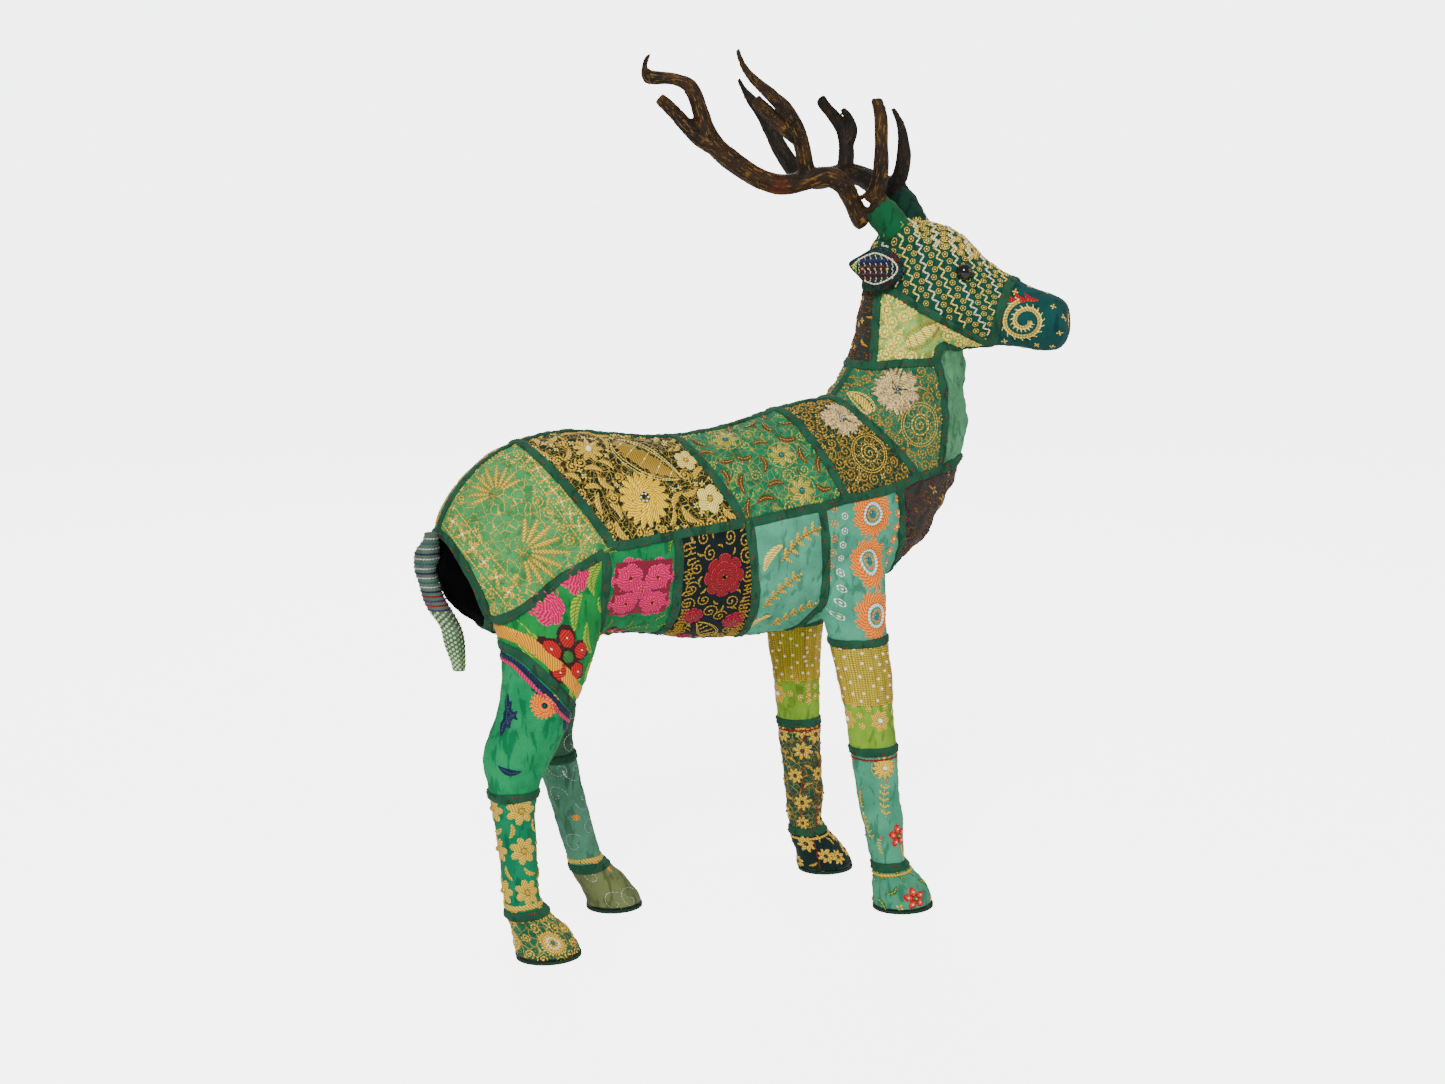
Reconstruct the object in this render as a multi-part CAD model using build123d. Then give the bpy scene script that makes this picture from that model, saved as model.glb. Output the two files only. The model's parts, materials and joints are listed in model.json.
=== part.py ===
"""Standing stag figure covered in patchwork cloth.

A paper-pulp form is built over a welded wire armature and covered with sewn
cloth patches that are joined by binding strips.  The antlers are carved wood
and plug into the head.  The ears and the tail are stuffed cloth, sewn on at
their roots.

Frame: millimetres, +X towards the chest, +Y to the stag's left, +Z up.  The
origin is on the ground, under the middle of the overall box.  The dimensions
below are drawn about the trunk's own middle and moved to the origin at the end.
"""

from build123d import *
import math
import os

# --- driving dimensions -------------------------------------------------------
CLOTH = 2.2            # cloth and lining
GLUE = 0.8             # glue line under the cloth, around rods and between glued forms
SEAM_GAP = 0.8         # slit between a patch and its binding strip
FORM_WALL = 9.0        # pulp wall of the hollow trunk
STRIP = 9.0            # width of the binding strips between patches
SOLE = 3.0             # thickness of the sole pads, and the height of the leg ends
ROD_R = 4.0            # armature rod radius

TRUNK_MIDDLE = (-3.0, -47.0, 0.0)  # where the trunk's own middle lies from the origin

HEAD_X = 205.0         # the neck's upper end, where the head turns
HEAD_YAW = -45.0       # the head looks back over the stag's right side
EYE_R = 8.5
EYE_AT = (71.0, 34.5, 664.0)      # in the head's frame, left eye
EYE_SHANK = 14.0       # length of the eye's shank, from the bead's centre

SOCKET_R = 6.0         # antler socket bore
PEG_R = 5.94           # antler peg, a sliding fit
PEG_LENGTH = 34.0
PEDICLE_R = 14.0
PEDICLE_TOP = 6.0      # how far the cuff stands above the pedicle's end
PEDICLE_ROOT = 12.0    # how far the pedicle runs down into the head
COLLAR = 2.0           # how far the antler's collar stands above the cuff
RIM_AIR = 0.4          # air between the cuff and the antler's branches
CUFF = 2.6             # cuff cloth thickness

EAR_GAP = 0.6          # air under the ear's root and the tail's root, for the stitches
EAR_STALK = 2.5        # radius of the sewn root of an ear
TAIL_STALK = 5.0       # radius of the sewn root of the tail

HALF_WIDTH = 140.0     # wider than anything on one side
TINY = 60.0            # mm3, smaller pieces are offcuts of a cut
SIDES = {"right": -1, "left": 1}

# --- sections: x, y, z, half size along the first axis, half size across ------
# Trunk sections stand across X: half width, then half height.
TRUNK = [
    (-307, 0, 402, 16, 20), (-300, 0, 402, 34, 42), (-284, 0, 404, 52, 63),
    (-258, 0, 407, 67, 84), (-220, 0, 409, 76, 99), (-170, 0, 411, 80, 103),
    (-115, 0, 408, 80, 99), (-50, 0, 401, 80, 103), (14, 0, 404, 81, 110),
    (75, 0, 413, 82, 116), (125, 0, 424, 79, 111), (175, 0, 442, 68, 96),
    (212, 0, 459, 56, 84), (242, 0, 483, 42, 70), (262, 0, 503, 28, 48),
    (273, 0, 513, 14, 22),
]
# Neck and leg sections lie flat: half size along X, then along Y.
NECK = [
    (158, 0, 470, 96, 58), (182, 0, 515, 84, 58), (202, 0, 553, 69, 53),
    (209, 0, 590, 60, 47), (209, 0, 622, 54, 43), (206, 0, 655, 40, 34),
]
FORE_RIGHT = [
    (106, -46, 400, 42, 24), (110, -51, 365, 42, 29), (115, -56, 325, 36, 30),
    (120, -60, 290, 31, 27), (127, -63, 250, 28, 25), (132, -65, 210, 25.5, 23),
    (136, -67, 174, 24.5, 22.5), (141, -70, 125, 22.5, 20.5), (148, -72, 80, 20.5, 18.5),
    (152, -73, 52, 19, 17), (158, -74, 38, 23, 20), (165, -74, 24, 28, 25),
    (169, -74, 10, 32, 28), (170, -74, SOLE, 33, 29),
]
FORE_LEFT = [
    (100, 46, 400, 42, 24), (103, 51, 365, 42, 29), (106, 57, 325, 36, 30),
    (109, 62, 285, 31, 27), (113, 67, 245, 27, 24), (117, 70, 205, 24.5, 22.5),
    (119, 71, 175, 23.5, 22), (124, 72, 125, 21.5, 20), (128, 73, 80, 20.5, 18.5),
    (131, 74, 52, 19, 17), (138, 74, 38, 23, 20), (147, 74, 24, 27, 24),
    (153, 74, 10, 30, 27), (155, 74, SOLE, 31, 28),
]
HIND_RIGHT = [
    (-206, -36, 415, 54, 24), (-209, -42, 378, 60, 34), (-212, -46, 340, 55, 37),
    (-215, -49, 305, 47, 34), (-223, -51, 272, 41, 31), (-235, -52, 240, 38, 28),
    (-247, -53, 212, 37, 26), (-254, -53, 186, 28, 23.5), (-255, -53, 160, 22, 20.5),
    (-253, -54, 125, 19.5, 18.5), (-250, -54, 90, 18.5, 17.5), (-245, -54, 52, 20, 17.5),
    (-237, -54, 38, 24, 21), (-229, -54, 24, 28, 25), (-223, -54, 10, 32, 28),
    (-221, -54, SOLE, 33, 29),
]
HIND_LEFT = [
    (-196, 36, 415, 54, 24), (-194, 42, 378, 60, 34), (-190, 48, 340, 54, 37),
    (-186, 51, 305, 46, 33), (-184, 53, 272, 40, 30), (-184, 54, 240, 36, 27),
    (-184, 55, 212, 34, 25), (-178, 55, 186, 26, 22.5), (-167, 56, 157, 21, 20),
    (-158, 56, 125, 19, 18.5), (-149, 56, 92, 18.5, 17.5), (-136, 56, 52, 20, 17.5),
    (-126, 56, 38, 24, 21), (-115, 56, 24, 27, 24), (-108, 56, 10, 29, 27),
    (-106, 56, SOLE, 30, 28),
]
# Head sections stand across the head's own X: half width, then half height.
HEAD = [
    (-38, 0, 655, 18, 20), (-30, 0, 654, 33, 42), (-6, 0, 654, 42, 58),
    (24, 0, 651, 44, 62), (50, 0, 645, 42, 60), (76, 0, 634, 36, 48),
    (100, 0, 626, 30, 38.5), (125, 0, 619, 26.5, 33), (150, 0, 613, 25, 30),
    (165, 0, 612, 22, 24), (172, 0, 612, 15, 14),
]
# The tail hangs clear of the rump: half size across its run, then across Y.
TAIL = [
    (-316, 0, 424, 6, 8), (-320, 0, 405, 8, 9.5), (-321, 0, 384, 8.5, 10),
    (-316, 0, 364, 8.5, 10), (-308, 0, 347, 7.5, 9), (-301, 0, 336, 7, 7.5),
    (-296, 0, 322, 9, 9.5), (-292, 0, 306, 8, 8.5), (-290, 0, 292, 6, 6.5),
    (-289, 0, 284, 3, 3),
]

# --- seam corners in the side view, as (x, z) ---------------------------------
# These patches come in pairs, one on each side of the trunk.
PAIRS = {
    "rump": [(-269, 341), (-213, 382), (-157, 409), (-230, 512), (-240, 600),
             (-340, 600), (-340, 436), (-311, 436)],
    "loin": [(-157, 409), (-91, 418), (-17, 423), (-68, 512), (-80, 600), (-240, 600),
             (-230, 512)],
    "back": [(-17, 423), (95, 440), (50, 536), (40, 600), (-80, 600), (-68, 512)],
    "withers": [(95, 440), (160, 448), (184, 459), (97, 552), (85, 600), (40, 600), (50, 536)],
    "haunch": [(-269, 341), (-213, 382), (-166, 409), (-163, 319), (-130, 290), (-130, 240),
               (-190, 245), (-258, 320)],
    "rose_flank": [(-166, 409), (-91, 418), (-85, 320), (-84, 270), (-110, 270),
                   (-130, 290), (-163, 319)],
    "navy_flank": [(-91, 418), (-15, 423), (2, 326), (5, 270), (-84, 270), (-85, 320)],
    "mint_flank": [(-15, 423), (67, 434), (79, 327), (60, 290), (60, 270), (5, 270),
                   (2, 326)],
    "shoulder": [(67, 434), (160, 448), (168, 390), (190, 292), (60, 290), (79, 327)],
    "neck": [(184, 459), (216, 458), (228, 500), (216, 572), (121, 566), (97, 552)],
    "forearm": [(60, 290), (190, 292), (195, 174), (60, 174)],
    "fore_shin": [(60, 174), (210, 174), (230, 48), (60, 48)],
    "fore_hoof": [(60, 48), (240, 48), (240, -20), (60, -20)],
    "gaskin": [(-310, 172), (-310, 280), (-264, 280), (-258, 320), (-190, 245), (-130, 240),
               (-110, 172)],
    "hind_shin": [(-310, 172), (-110, 172), (-80, 50), (-310, 50)],
    "hind_hoof": [(-310, 50), (-50, 50), (-50, -20), (-310, -20)],
}
# These run across the middle.
SINGLES = {
    "velvet": [(-340, 436), (-311, 436), (-269, 341), (-258, 320), (-264, 280), (-340, 280)],
    "chest": [(160, 448), (216, 458), (300, 475), (300, 320), (190, 292), (168, 390)],
    "throat": [(216, 458), (300, 475), (300, 700), (216, 700), (216, 572), (228, 500)],
    "nape": [(97, 552), (121, 566), (216, 572), (216, 700), (85, 700)],
}
# The same in the head's own side view.
HEAD_PAIRS = {"cheek": [(-34, 640), (4, 640), (98, 588), (98, 550), (-34, 550)]}
HEAD_SINGLES = {
    "muzzle": [(98, 550), (98, 588), (114, 652), (120, 720), (220, 720), (220, 550)],
    "crown": [(-70, 560), (-34, 550), (-34, 640), (4, 640), (98, 588), (114, 652), (120, 720),
              (60, 760), (-70, 760)],
}

# --- antlers, in the head's frame ------------------------------------------------
# The cuff runs from the crown to its open rim; each branch is x, y, z and radius.
CUFFS = {
    "right": [(-3, -22, 702), (-26, -28, 731)],
    "left": [(4, 22, 704), (-20, 28, 741)],
}
ANTLERS = {
    "right": [
        [(-24, -27, 729, 11.5), (-56, -38, 749, 10.5), (-90, -55, 756, 10), (-120, -72, 752, 9.5),
         (-147, -88, 766, 9.5), (-176, -100, 792, 9), (-189, -106, 826, 7.5),
         (-210, -112, 856, 6.5), (-241, -118, 879, 5)],
        [(-174, -99, 789, 8), (-200, -112, 809, 7), (-217, -118, 828, 6), (-227, -122, 838, 5.5)],
        [(-32, -31, 736, 8), (-21, -33, 751, 8), (-18, -35, 771, 7), (-18, -36, 797, 6.5),
         (-23, -38, 837, 5)],
        [(-88, -54, 754, 8), (-94, -58, 783, 7.5), (-100, -64, 809, 7), (-115, -72, 833, 6.5),
         (-128, -78, 846, 5.5), (-156, -85, 886, 1.6)],
        [(-97, -60, 796, 6.5), (-115, -62, 810, 6.5), (-144, -64, 837, 5.5)],
    ],
    "left": [
        [(-19, 27, 740, 11.5), (-34, 32, 748, 11.5), (-54, 39, 756, 10.5), (-82, 50, 762, 10),
         (-115, 66, 755, 9.5), (-143, 80, 761, 9), (-168, 88, 788, 8), (-187, 92, 819, 6.5),
         (-204, 96, 840, 5), (-220, 100, 863, 1.6)],
        [(-28, 31, 745, 8), (-17, 31, 758, 7.5), (-13, 32, 778, 7), (-14, 33, 797, 5.5),
         (-26, 34, 829, 1.6)],
        [(-80, 49, 760, 8), (-82, 52, 784, 7.5), (-85, 55, 802, 7), (-96, 60, 819, 6),
         (-115, 66, 840, 5)],
        [(-82, 53, 792, 6.5), (-77, 55, 810, 5), (-88, 58, 829, 1.6)],
    ],
}
# An ear's run from root to tip: distance along, half height, half thickness.
EAR_ROOT = (10, 46.5, 664)
EAR_TIP = (-42, 68, 672)
EAR_RUN = [(0, 6, 3.5), (0.1, 13, 5), (0.26, 20, 6), (0.45, 22.5, 6.5), (0.65, 18, 6),
           (0.84, 9.5, 4.5), (1, 1.5, 1.5)]

# --- armature rods: paths through the form ---------------------------------------
SPINE = [(-235, 0, 425), (150, 0, 455)]
HIP, WITHERS = (-185, 0, 428.9), (115, 0, 452.3)
RODS = {
    "neck": [(150, 0, 455), (200, 0, 560), (207, 0, 640)],
    "fore_right": [WITHERS, (112, -50, 370), (121, -59, 290), (136, -67, 174), (152, -73, 50),
                   (165, -74, 16)],
    "fore_left": [WITHERS, (104, 50, 370), (109, 63, 285), (119, 71, 175), (131, 74, 50),
                  (147, 74, 16)],
    "hind_right": [HIP, (-210, -44, 370), (-220, -50, 285), (-250, -53, 195), (-250, -54, 90),
                   (-230, -54, 16)],
    "hind_left": [HIP, (-194, 44, 370), (-184, 53, 272), (-178, 55, 186), (-136, 56, 50),
                  (-113, 56, 16)],
}

HEAD_FRAME = Location((HEAD_X, 0, 0), (0, 0, HEAD_YAW))
LEGS = {"fore_right": FORE_RIGHT, "fore_left": FORE_LEFT,
        "hind_right": HIND_RIGHT, "hind_left": HIND_LEFT}


# --- helpers ----------------------------------------------------------------------
def section(x, y, z, half_a, half_b, upright, inset=0.0):
    """One elliptical section, standing across X or lying flat, drawn in by the inset."""
    if upright:
        plane = Plane(origin=(x, y, z), x_dir=(0, 1, 0), z_dir=(1, 0, 0))
    else:
        plane = Plane(origin=(x, y, z), x_dir=(1, 0, 0), z_dir=(0, 0, 1))
    return plane * Ellipse(half_a - inset, half_b - inset)


def limb(stations, inset=0.0, upright=False):
    """A smooth body through the sections.  Upright bodies are closed by cloth at both ends."""
    last = len(stations) - 1
    faces = []
    for i, (x, y, z, a, b) in enumerate(stations):
        if upright:
            x += inset if i == 0 else -inset if i == last else 0
        faces.append(section(x, y, z, a, b, upright, inset))
    return Solid(loft(faces).wrapped)


def biggest(shape):
    """The main solid of a cut, without its offcuts."""
    return max(shape.solids(), key=lambda solid: solid.volume)


def keep(shape):
    """All solids of a cut except the offcuts."""
    found = [solid for solid in shape.solids() if solid.volume > TINY]
    return found[0] if len(found) == 1 else Compound(found)


def prism(corners, side=0, slit=0.0):
    """The side-view outline, half a strip smaller, swept across one side or both."""
    inset = STRIP / 2 + slit
    outline = offset(Face(Wire.make_polygon([(x, 0, z) for x, z in corners])), -inset)
    near = inset if side else -HALF_WIDTH
    block = Pos(0, near, 0) * extrude(outline, amount=HALF_WIDTH - near, dir=(0, 1, 0))
    return mirror(block, about=Plane.XZ) if side < 0 else block


def prisms(slit):
    """Every patch's prism: those of the body, and those of the head."""
    body = {name: prism(corners, 0, slit) for name, corners in SINGLES.items()}
    top = {name: HEAD_FRAME * prism(corners, 0, slit) for name, corners in HEAD_SINGLES.items()}
    for side, sign in SIDES.items():
        for name, corners in PAIRS.items():
            body[name + "_" + side] = prism(corners, sign, slit)
        for name, corners in HEAD_PAIRS.items():
            top[name + "_" + side] = HEAD_FRAME * prism(corners, sign, slit)
    return body, top


def tapered(branch):
    """A round branch through its points, each with a radius."""
    faces = []
    for i, (x, y, z, radius) in enumerate(branch):
        before = Vector(*branch[max(i - 1, 0)][:3])
        after = Vector(*branch[min(i + 1, len(branch) - 1)][:3])
        run = (after - before).normalized()
        across = run.cross(Vector(0.35, 1, 0.1)).normalized()
        faces.append(Plane(origin=(x, y, z), x_dir=across, z_dir=run) * Circle(radius))
    return Solid(loft(faces).wrapped)


def rod(path, radius):
    """A round rod bent at each point of the path."""
    pieces = [Pos(*point) * Sphere(radius) for point in path]
    for start, end in zip(path, path[1:]):
        run = Vector(*end) - Vector(*start)
        pieces.append(Plane(origin=start, z_dir=run)
                      * Cylinder(radius, run.length, align=(Align.CENTER, Align.CENTER, Align.MIN)))
    return pieces[0].fuse(*pieces[1:])


def along(start, end, low, high, radius):
    """A cylinder on the line from start to end, between two distances past the end."""
    line = Plane(origin=end, z_dir=Vector(*end) - Vector(*start))
    barrel = Cylinder(radius, high - low, align=(Align.CENTER, Align.CENTER, Align.MIN))
    return line * Pos(0, 0, low) * barrel


# --- outer and inner bodies ---------------------------------------------------------
def bodies(inset):
    """The trunk, the neck, the legs and the head, drawn in by the inset."""
    trunk = limb(TRUNK, inset, upright=True)
    neck = limb(NECK, inset)
    legs = {name: limb(stations, inset) for name, stations in LEGS.items()}
    return trunk, neck, legs, HEAD_FRAME * limb(HEAD, inset, upright=True)


trunk, neck, legs, head = bodies(0)
trunk_in, neck_in, legs_in, head_in = bodies(CLOTH)
body_cloth = trunk.fuse(neck, *legs.values()).cut(trunk_in, neck_in, *legs_in.values(), head)
head_cloth = head.cut(head_in, neck_in)

parts = {}

# --- pedicles, cuffs and antlers ------------------------------------------------------
pedicles, sockets, openings = [], [], []
for side, (foot, rim) in CUFFS.items():
    reach = (Vector(*rim) - Vector(*foot)).length
    pedicle = along(foot, rim, -reach - PEDICLE_ROOT, -PEDICLE_TOP, PEDICLE_R)
    socket = along(foot, rim, -PEDICLE_TOP - PEG_LENGTH - 1, -PEDICLE_TOP, SOCKET_R)
    pedicles.append(HEAD_FRAME * pedicle)
    openings.append(HEAD_FRAME * along(foot, rim, -reach - PEDICLE_ROOT, 0,
                                       PEDICLE_R + GLUE / 2))
    sockets.append(HEAD_FRAME * socket)
    sleeve = along(foot, rim, -reach, 0, PEDICLE_R + GLUE / 2 + CUFF)
    sleeve -= along(foot, rim, -reach - 1, 1, PEDICLE_R + GLUE / 2)
    outside = HEAD_FRAME * limb(HEAD, -GLUE / 2, upright=True)
    parts["cuff_" + side] = biggest(HEAD_FRAME * sleeve - outside)
    collar = along(foot, rim, -PEDICLE_TOP, COLLAR, PEDICLE_R)
    peg = along(foot, rim, -PEDICLE_TOP - PEG_LENGTH, -PEDICLE_TOP, PEG_R)
    # The branches stay clear of the cuff and the pedicle, so that the antler can slide out.
    clear = along(foot, rim, -reach - PEDICLE_ROOT, RIM_AIR, PEDICLE_R + GLUE / 2 + CUFF + RIM_AIR)
    branches = [tapered(branch).cut(clear) for branch in ANTLERS[side]]
    parts["antler_" + side] = biggest(HEAD_FRAME * collar.fuse(peg, *branches))

# --- eyes -------------------------------------------------------------------------------
eye_holes = []
for side, sign in SIDES.items():
    for grow in (0, GLUE / 2):
        shank = Cylinder(1.5 + grow, EYE_SHANK + grow,
                         align=(Align.CENTER, Align.CENTER, Align.MIN))
        bead = Sphere(EYE_R + grow) + Rot(90 * sign, 0, 0) * shank
        bead = HEAD_FRAME * Pos(EYE_AT[0], sign * EYE_AT[1], EYE_AT[2]) * bead
        if grow:
            eye_holes.append(bead)
        else:
            parts["eye_" + side] = bead

# --- ears and tail ------------------------------------------------------------------------
for side, sign in SIDES.items():
    root = Vector(EAR_ROOT[0], sign * EAR_ROOT[1], EAR_ROOT[2])
    tip = Vector(EAR_TIP[0], sign * EAR_TIP[1], EAR_TIP[2])
    run = (tip - root).normalized()
    faces = [Plane(origin=root + (tip - root) * t, x_dir=(0.1, 0, 1), z_dir=run)
             * Ellipse(tall, thick) for t, tall, thick in EAR_RUN]
    stalk = Pos(root.X - 2, 0, root.Z) * Rot(-90 * sign, 0, 0) * Cylinder(
        EAR_STALK, EAR_ROOT[1], align=(Align.CENTER, Align.CENTER, Align.MIN))
    ear = HEAD_FRAME * (Solid(loft(faces).wrapped) + stalk)
    parts["ear_" + side] = biggest(ear - HEAD_FRAME * limb(HEAD, -EAR_GAP, upright=True))

tail_x, _, tail_z = TAIL[1][:3]
tail_stalk = Pos(tail_x, 0, tail_z) * Rot(0, 90, 0) * Cylinder(
    TAIL_STALK, 40, align=(Align.CENTER, Align.CENTER, Align.MIN))
parts["tail"] = biggest((limb(TAIL) + tail_stalk) - limb(TRUNK, -EAR_GAP, upright=True))

# --- cloth patches and the strips between them ---------------------------------------------
body_prisms, head_prisms = prisms(SEAM_GAP)
openings += eye_holes
for name, block in body_prisms.items():
    parts[name + "_patch"] = keep(body_cloth & block)
for name, block in head_prisms.items():
    parts[name + "_patch"] = keep((head_cloth & block).cut(*openings))
body_prisms, head_prisms = prisms(0)
strips = [body_cloth.cut(*body_prisms.values()), head_cloth.cut(*head_prisms.values())]
parts["seam_bindings"] = keep(strips[0] + strips[1])

# --- paper-pulp form and wire armature -------------------------------------------------------
parts["wire_armature"] = biggest(rod(SPINE, ROD_R).fuse(
    *[rod(path, ROD_R) for path in RODS.values()]))
channels = [rod(path, ROD_R + GLUE) for path in (SPINE, *RODS.values())]
trunk_core, neck_core, legs_core, head_core = bodies(CLOTH + GLUE)
hollow = limb(TRUNK, CLOTH + GLUE + FORM_WALL, upright=True)
parts["trunk_form"] = biggest(trunk_core.cut(hollow, *channels))
for name, core in legs_core.items():
    parts[name + "_leg_form"] = biggest(core.cut(trunk_in, neck_in, *channels))
parts["neck_form"] = biggest(neck_core.cut(trunk_in, head_in, *channels))
parts["head_form"] = biggest(head_core.fuse(*pedicles).cut(*sockets, *eye_holes, *channels))

# --- soles -------------------------------------------------------------------------------------
pads = []
for stations in LEGS.values():
    x, y, _, half_x, half_y = stations[-1]
    pads.append(extrude(section(x, y, 0, half_x, half_y, upright=False), amount=SOLE))
parts["hoof_soles"] = Compound([pad.solid() for pad in pads])

os.makedirs("parts", exist_ok=True)
for name, shape in parts.items():
    export_step(Pos(*TRUNK_MIDDLE) * shape, "parts/" + name + ".step")
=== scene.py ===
"""Looks of the patchwork stag: cloth patches, binding tape, embroidery, antlers, ears and tail.

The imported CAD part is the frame.  Its pulp forms give the skin that the cloth lies on, and its
patch nodes say which part of that skin belongs to which patch.
"""

import heapq
import json
import math
import random

import bmesh
import bpy
import numpy as np
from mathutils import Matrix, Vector, kdtree, noise
from mathutils.bvhtree import BVHTree


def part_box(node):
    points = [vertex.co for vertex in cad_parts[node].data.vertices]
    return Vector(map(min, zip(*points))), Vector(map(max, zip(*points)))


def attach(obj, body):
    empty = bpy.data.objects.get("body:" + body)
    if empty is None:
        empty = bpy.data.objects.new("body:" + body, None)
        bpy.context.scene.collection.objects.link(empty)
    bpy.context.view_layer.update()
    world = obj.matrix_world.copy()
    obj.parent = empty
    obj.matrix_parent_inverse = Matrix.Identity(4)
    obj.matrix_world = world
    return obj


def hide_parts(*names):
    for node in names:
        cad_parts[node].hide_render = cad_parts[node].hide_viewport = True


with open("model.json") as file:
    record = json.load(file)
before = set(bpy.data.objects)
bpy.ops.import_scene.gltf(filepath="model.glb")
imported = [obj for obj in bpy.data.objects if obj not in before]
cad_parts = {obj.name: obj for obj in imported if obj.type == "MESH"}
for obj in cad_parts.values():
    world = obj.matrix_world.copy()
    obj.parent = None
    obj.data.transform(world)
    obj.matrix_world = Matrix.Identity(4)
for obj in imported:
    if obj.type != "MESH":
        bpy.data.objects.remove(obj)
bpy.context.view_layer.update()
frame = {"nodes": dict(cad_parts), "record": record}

MM = 0.001
SKIN_GROW = 2.6 * MM       # from the pulp form out to the cloth
VOXEL = 3.6 * MM           # resolution of the skin
WRINKLE = 1.5 * MM         # depth of the wrinkles pressed into the skin
TAPE_WIDTH = 9.6 * MM      # binding tape between patches
TAPE_HEIGHT = 2.2 * MM
SHEET_LIFT = 0.5 * MM      # cloth above the skin
CELL = 2.5 * MM            # spacing of a chart's grid
TORN = 4 * MM              # a stroke stretched by more than this has left the skin
DYE_DEPTH = 1.28           # dyes are mixed deeper, because bright light pales them
ROOT = "stag"
UP = Vector((0, 0, 1))
NO_TINT = (0, 0, 0, 0)
TURN = 2 * math.pi


# --- small helpers ---------------------------------------------------------------------
def vectors(items, key):
    """One vector of every item, as an array."""
    out = np.empty(len(items) * 3)
    items.foreach_get(key, out)
    return out.reshape(-1, 3)


def mesh_points(mesh):
    return vectors(mesh.vertices, "co")


def mesh_normals(mesh):
    return vectors(mesh.vertex_normals, "vector")


def mesh_faces(mesh):
    return [tuple(face.vertices) for face in mesh.polygons]


def move_points(mesh, points):
    mesh.vertices.foreach_set("co", points.ravel())
    mesh.update()


def tree_of(points, faces):
    return BVHTree.FromPolygons([Vector(p) for p in points], faces)


def centre(name):
    low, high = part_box(name)
    return (Vector(low) + Vector(high)) / 2


def unit(vector):
    return vector / np.maximum(np.linalg.norm(vector, axis=-1, keepdims=True), 1e-9)


def travelled(points):
    """The distance gone along a polyline at each of its points."""
    return np.concatenate([[0], np.cumsum(np.linalg.norm(np.diff(points, axis=0), axis=1))])


def grain(points, scale):
    return np.array([noise.noise(Vector(p) * scale) for p in points])


def linear(r, g, b):
    """A colour, 0 to 255, as linear light."""
    return tuple((c / 255) ** (2.2 * DYE_DEPTH) for c in (r, g, b))


def dye(r, g, b, metal=0.0):
    """A thread's colour and how metallic it is."""
    return (*linear(r, g, b), metal)


def linked(name, mesh):
    """A new object in the scene."""
    obj = bpy.data.objects.new(name, mesh)
    bpy.context.scene.collection.objects.link(obj)
    return obj


def tie(piece, node, body=ROOT):
    """Ties a finished piece to its CAD node and body."""
    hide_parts(node)
    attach(piece, body)


def even_out(obj, voxel, rounds):
    """Gives an object an even, slightly smoothed mesh."""
    remesh = obj.modifiers.new("remesh", "REMESH")
    remesh.mode = "VOXEL"
    remesh.voxel_size = voxel
    smooth = obj.modifiers.new("smooth", "SMOOTH")
    smooth.iterations = rounds
    smooth.factor = 0.5
    bpy.context.view_layer.update()
    graph = bpy.context.evaluated_depsgraph_get()
    mesh = bpy.data.meshes.new_from_object(obj.evaluated_get(graph), depsgraph=graph)
    obj.modifiers.clear()
    obj.data = mesh


def grown(name, amount):
    """A CAD node's mesh, welded and pushed out along its normals."""
    work = bmesh.new()
    work.from_mesh(frame["nodes"][name].data)
    bmesh.ops.remove_doubles(work, verts=work.verts, dist=1e-5)
    work.normal_update()
    moved = [v.co + v.normal * amount for v in work.verts]
    for v, co in zip(work.verts, moved):
        v.co = co
    mesh = bpy.data.meshes.new(name + "_grown")
    work.to_mesh(mesh)
    work.free()
    return mesh


# The head's own directions.
SIDEWAYS = (centre("eye_left") - centre("eye_right")).normalized()
AHEAD = SIDEWAYS.cross(UP).normalized()
EAR_MIDDLE = (centre("ear_left") + centre("ear_right")) / 2
MUZZLE_MIDDLE = centre("muzzle_patch")


def cuff_axis(side):
    joint = next(j for j in frame["record"]["behaviour"]["joints"]
                 if j["name"] == f"antler_{side}_pull")
    return centre("cuff_" + side), Vector(joint["axis"]).normalized()


# --- the skin -----------------------------------------------------------------------------
CUFF_INSIDE = 6 * MM           # under a cuff the skin is drawn in by this much
CUFF_ZONE = (-8 * MM, 30 * MM, 24 * MM)     # from, to and radius about the cuff's axis


def islands_of(work):
    """The separate parts of a mesh, largest first."""
    islands, seen = [], set()
    for start in work.verts:
        if start in seen:
            continue
        seen.add(start)
        island = [start]
        for v in island:
            for edge in v.link_edges:
                other = edge.other_vert(v)
                if other not in seen:
                    seen.add(other)
                    island.append(other)
        islands.append(island)
    return sorted(islands, key=len, reverse=True)


def make_skin():
    """One even skin over all pulp forms, drawn in under the antlers' cuffs."""
    work = bmesh.new()
    for name in frame["nodes"]:
        if name.endswith("_form"):
            mesh = grown(name, SKIN_GROW)
            work.from_mesh(mesh)
            bpy.data.meshes.remove(mesh)
    mesh = bpy.data.meshes.new("skin")
    work.to_mesh(mesh)
    work.free()
    obj = linked("skin", mesh)
    even_out(obj, VOXEL, 6)
    work = bmesh.new()
    work.from_mesh(obj.data)
    for island in islands_of(work)[1:]:
        bmesh.ops.delete(work, geom=island, context="VERTS")
    low, high, radius = CUFF_ZONE
    for side in ("left", "right"):
        middle, axis = cuff_axis(side)
        for v in work.verts:
            offset = v.co - middle
            along = offset.dot(axis)
            radial = offset - axis * along
            if low < along < high and radial.length < radius:
                reach = max(radial.length - CUFF_INSIDE, MM)
                v.co -= radial * (1 - reach / max(radial.length, 1e-6))
    work.to_mesh(obj.data)
    work.free()
    return obj


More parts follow.
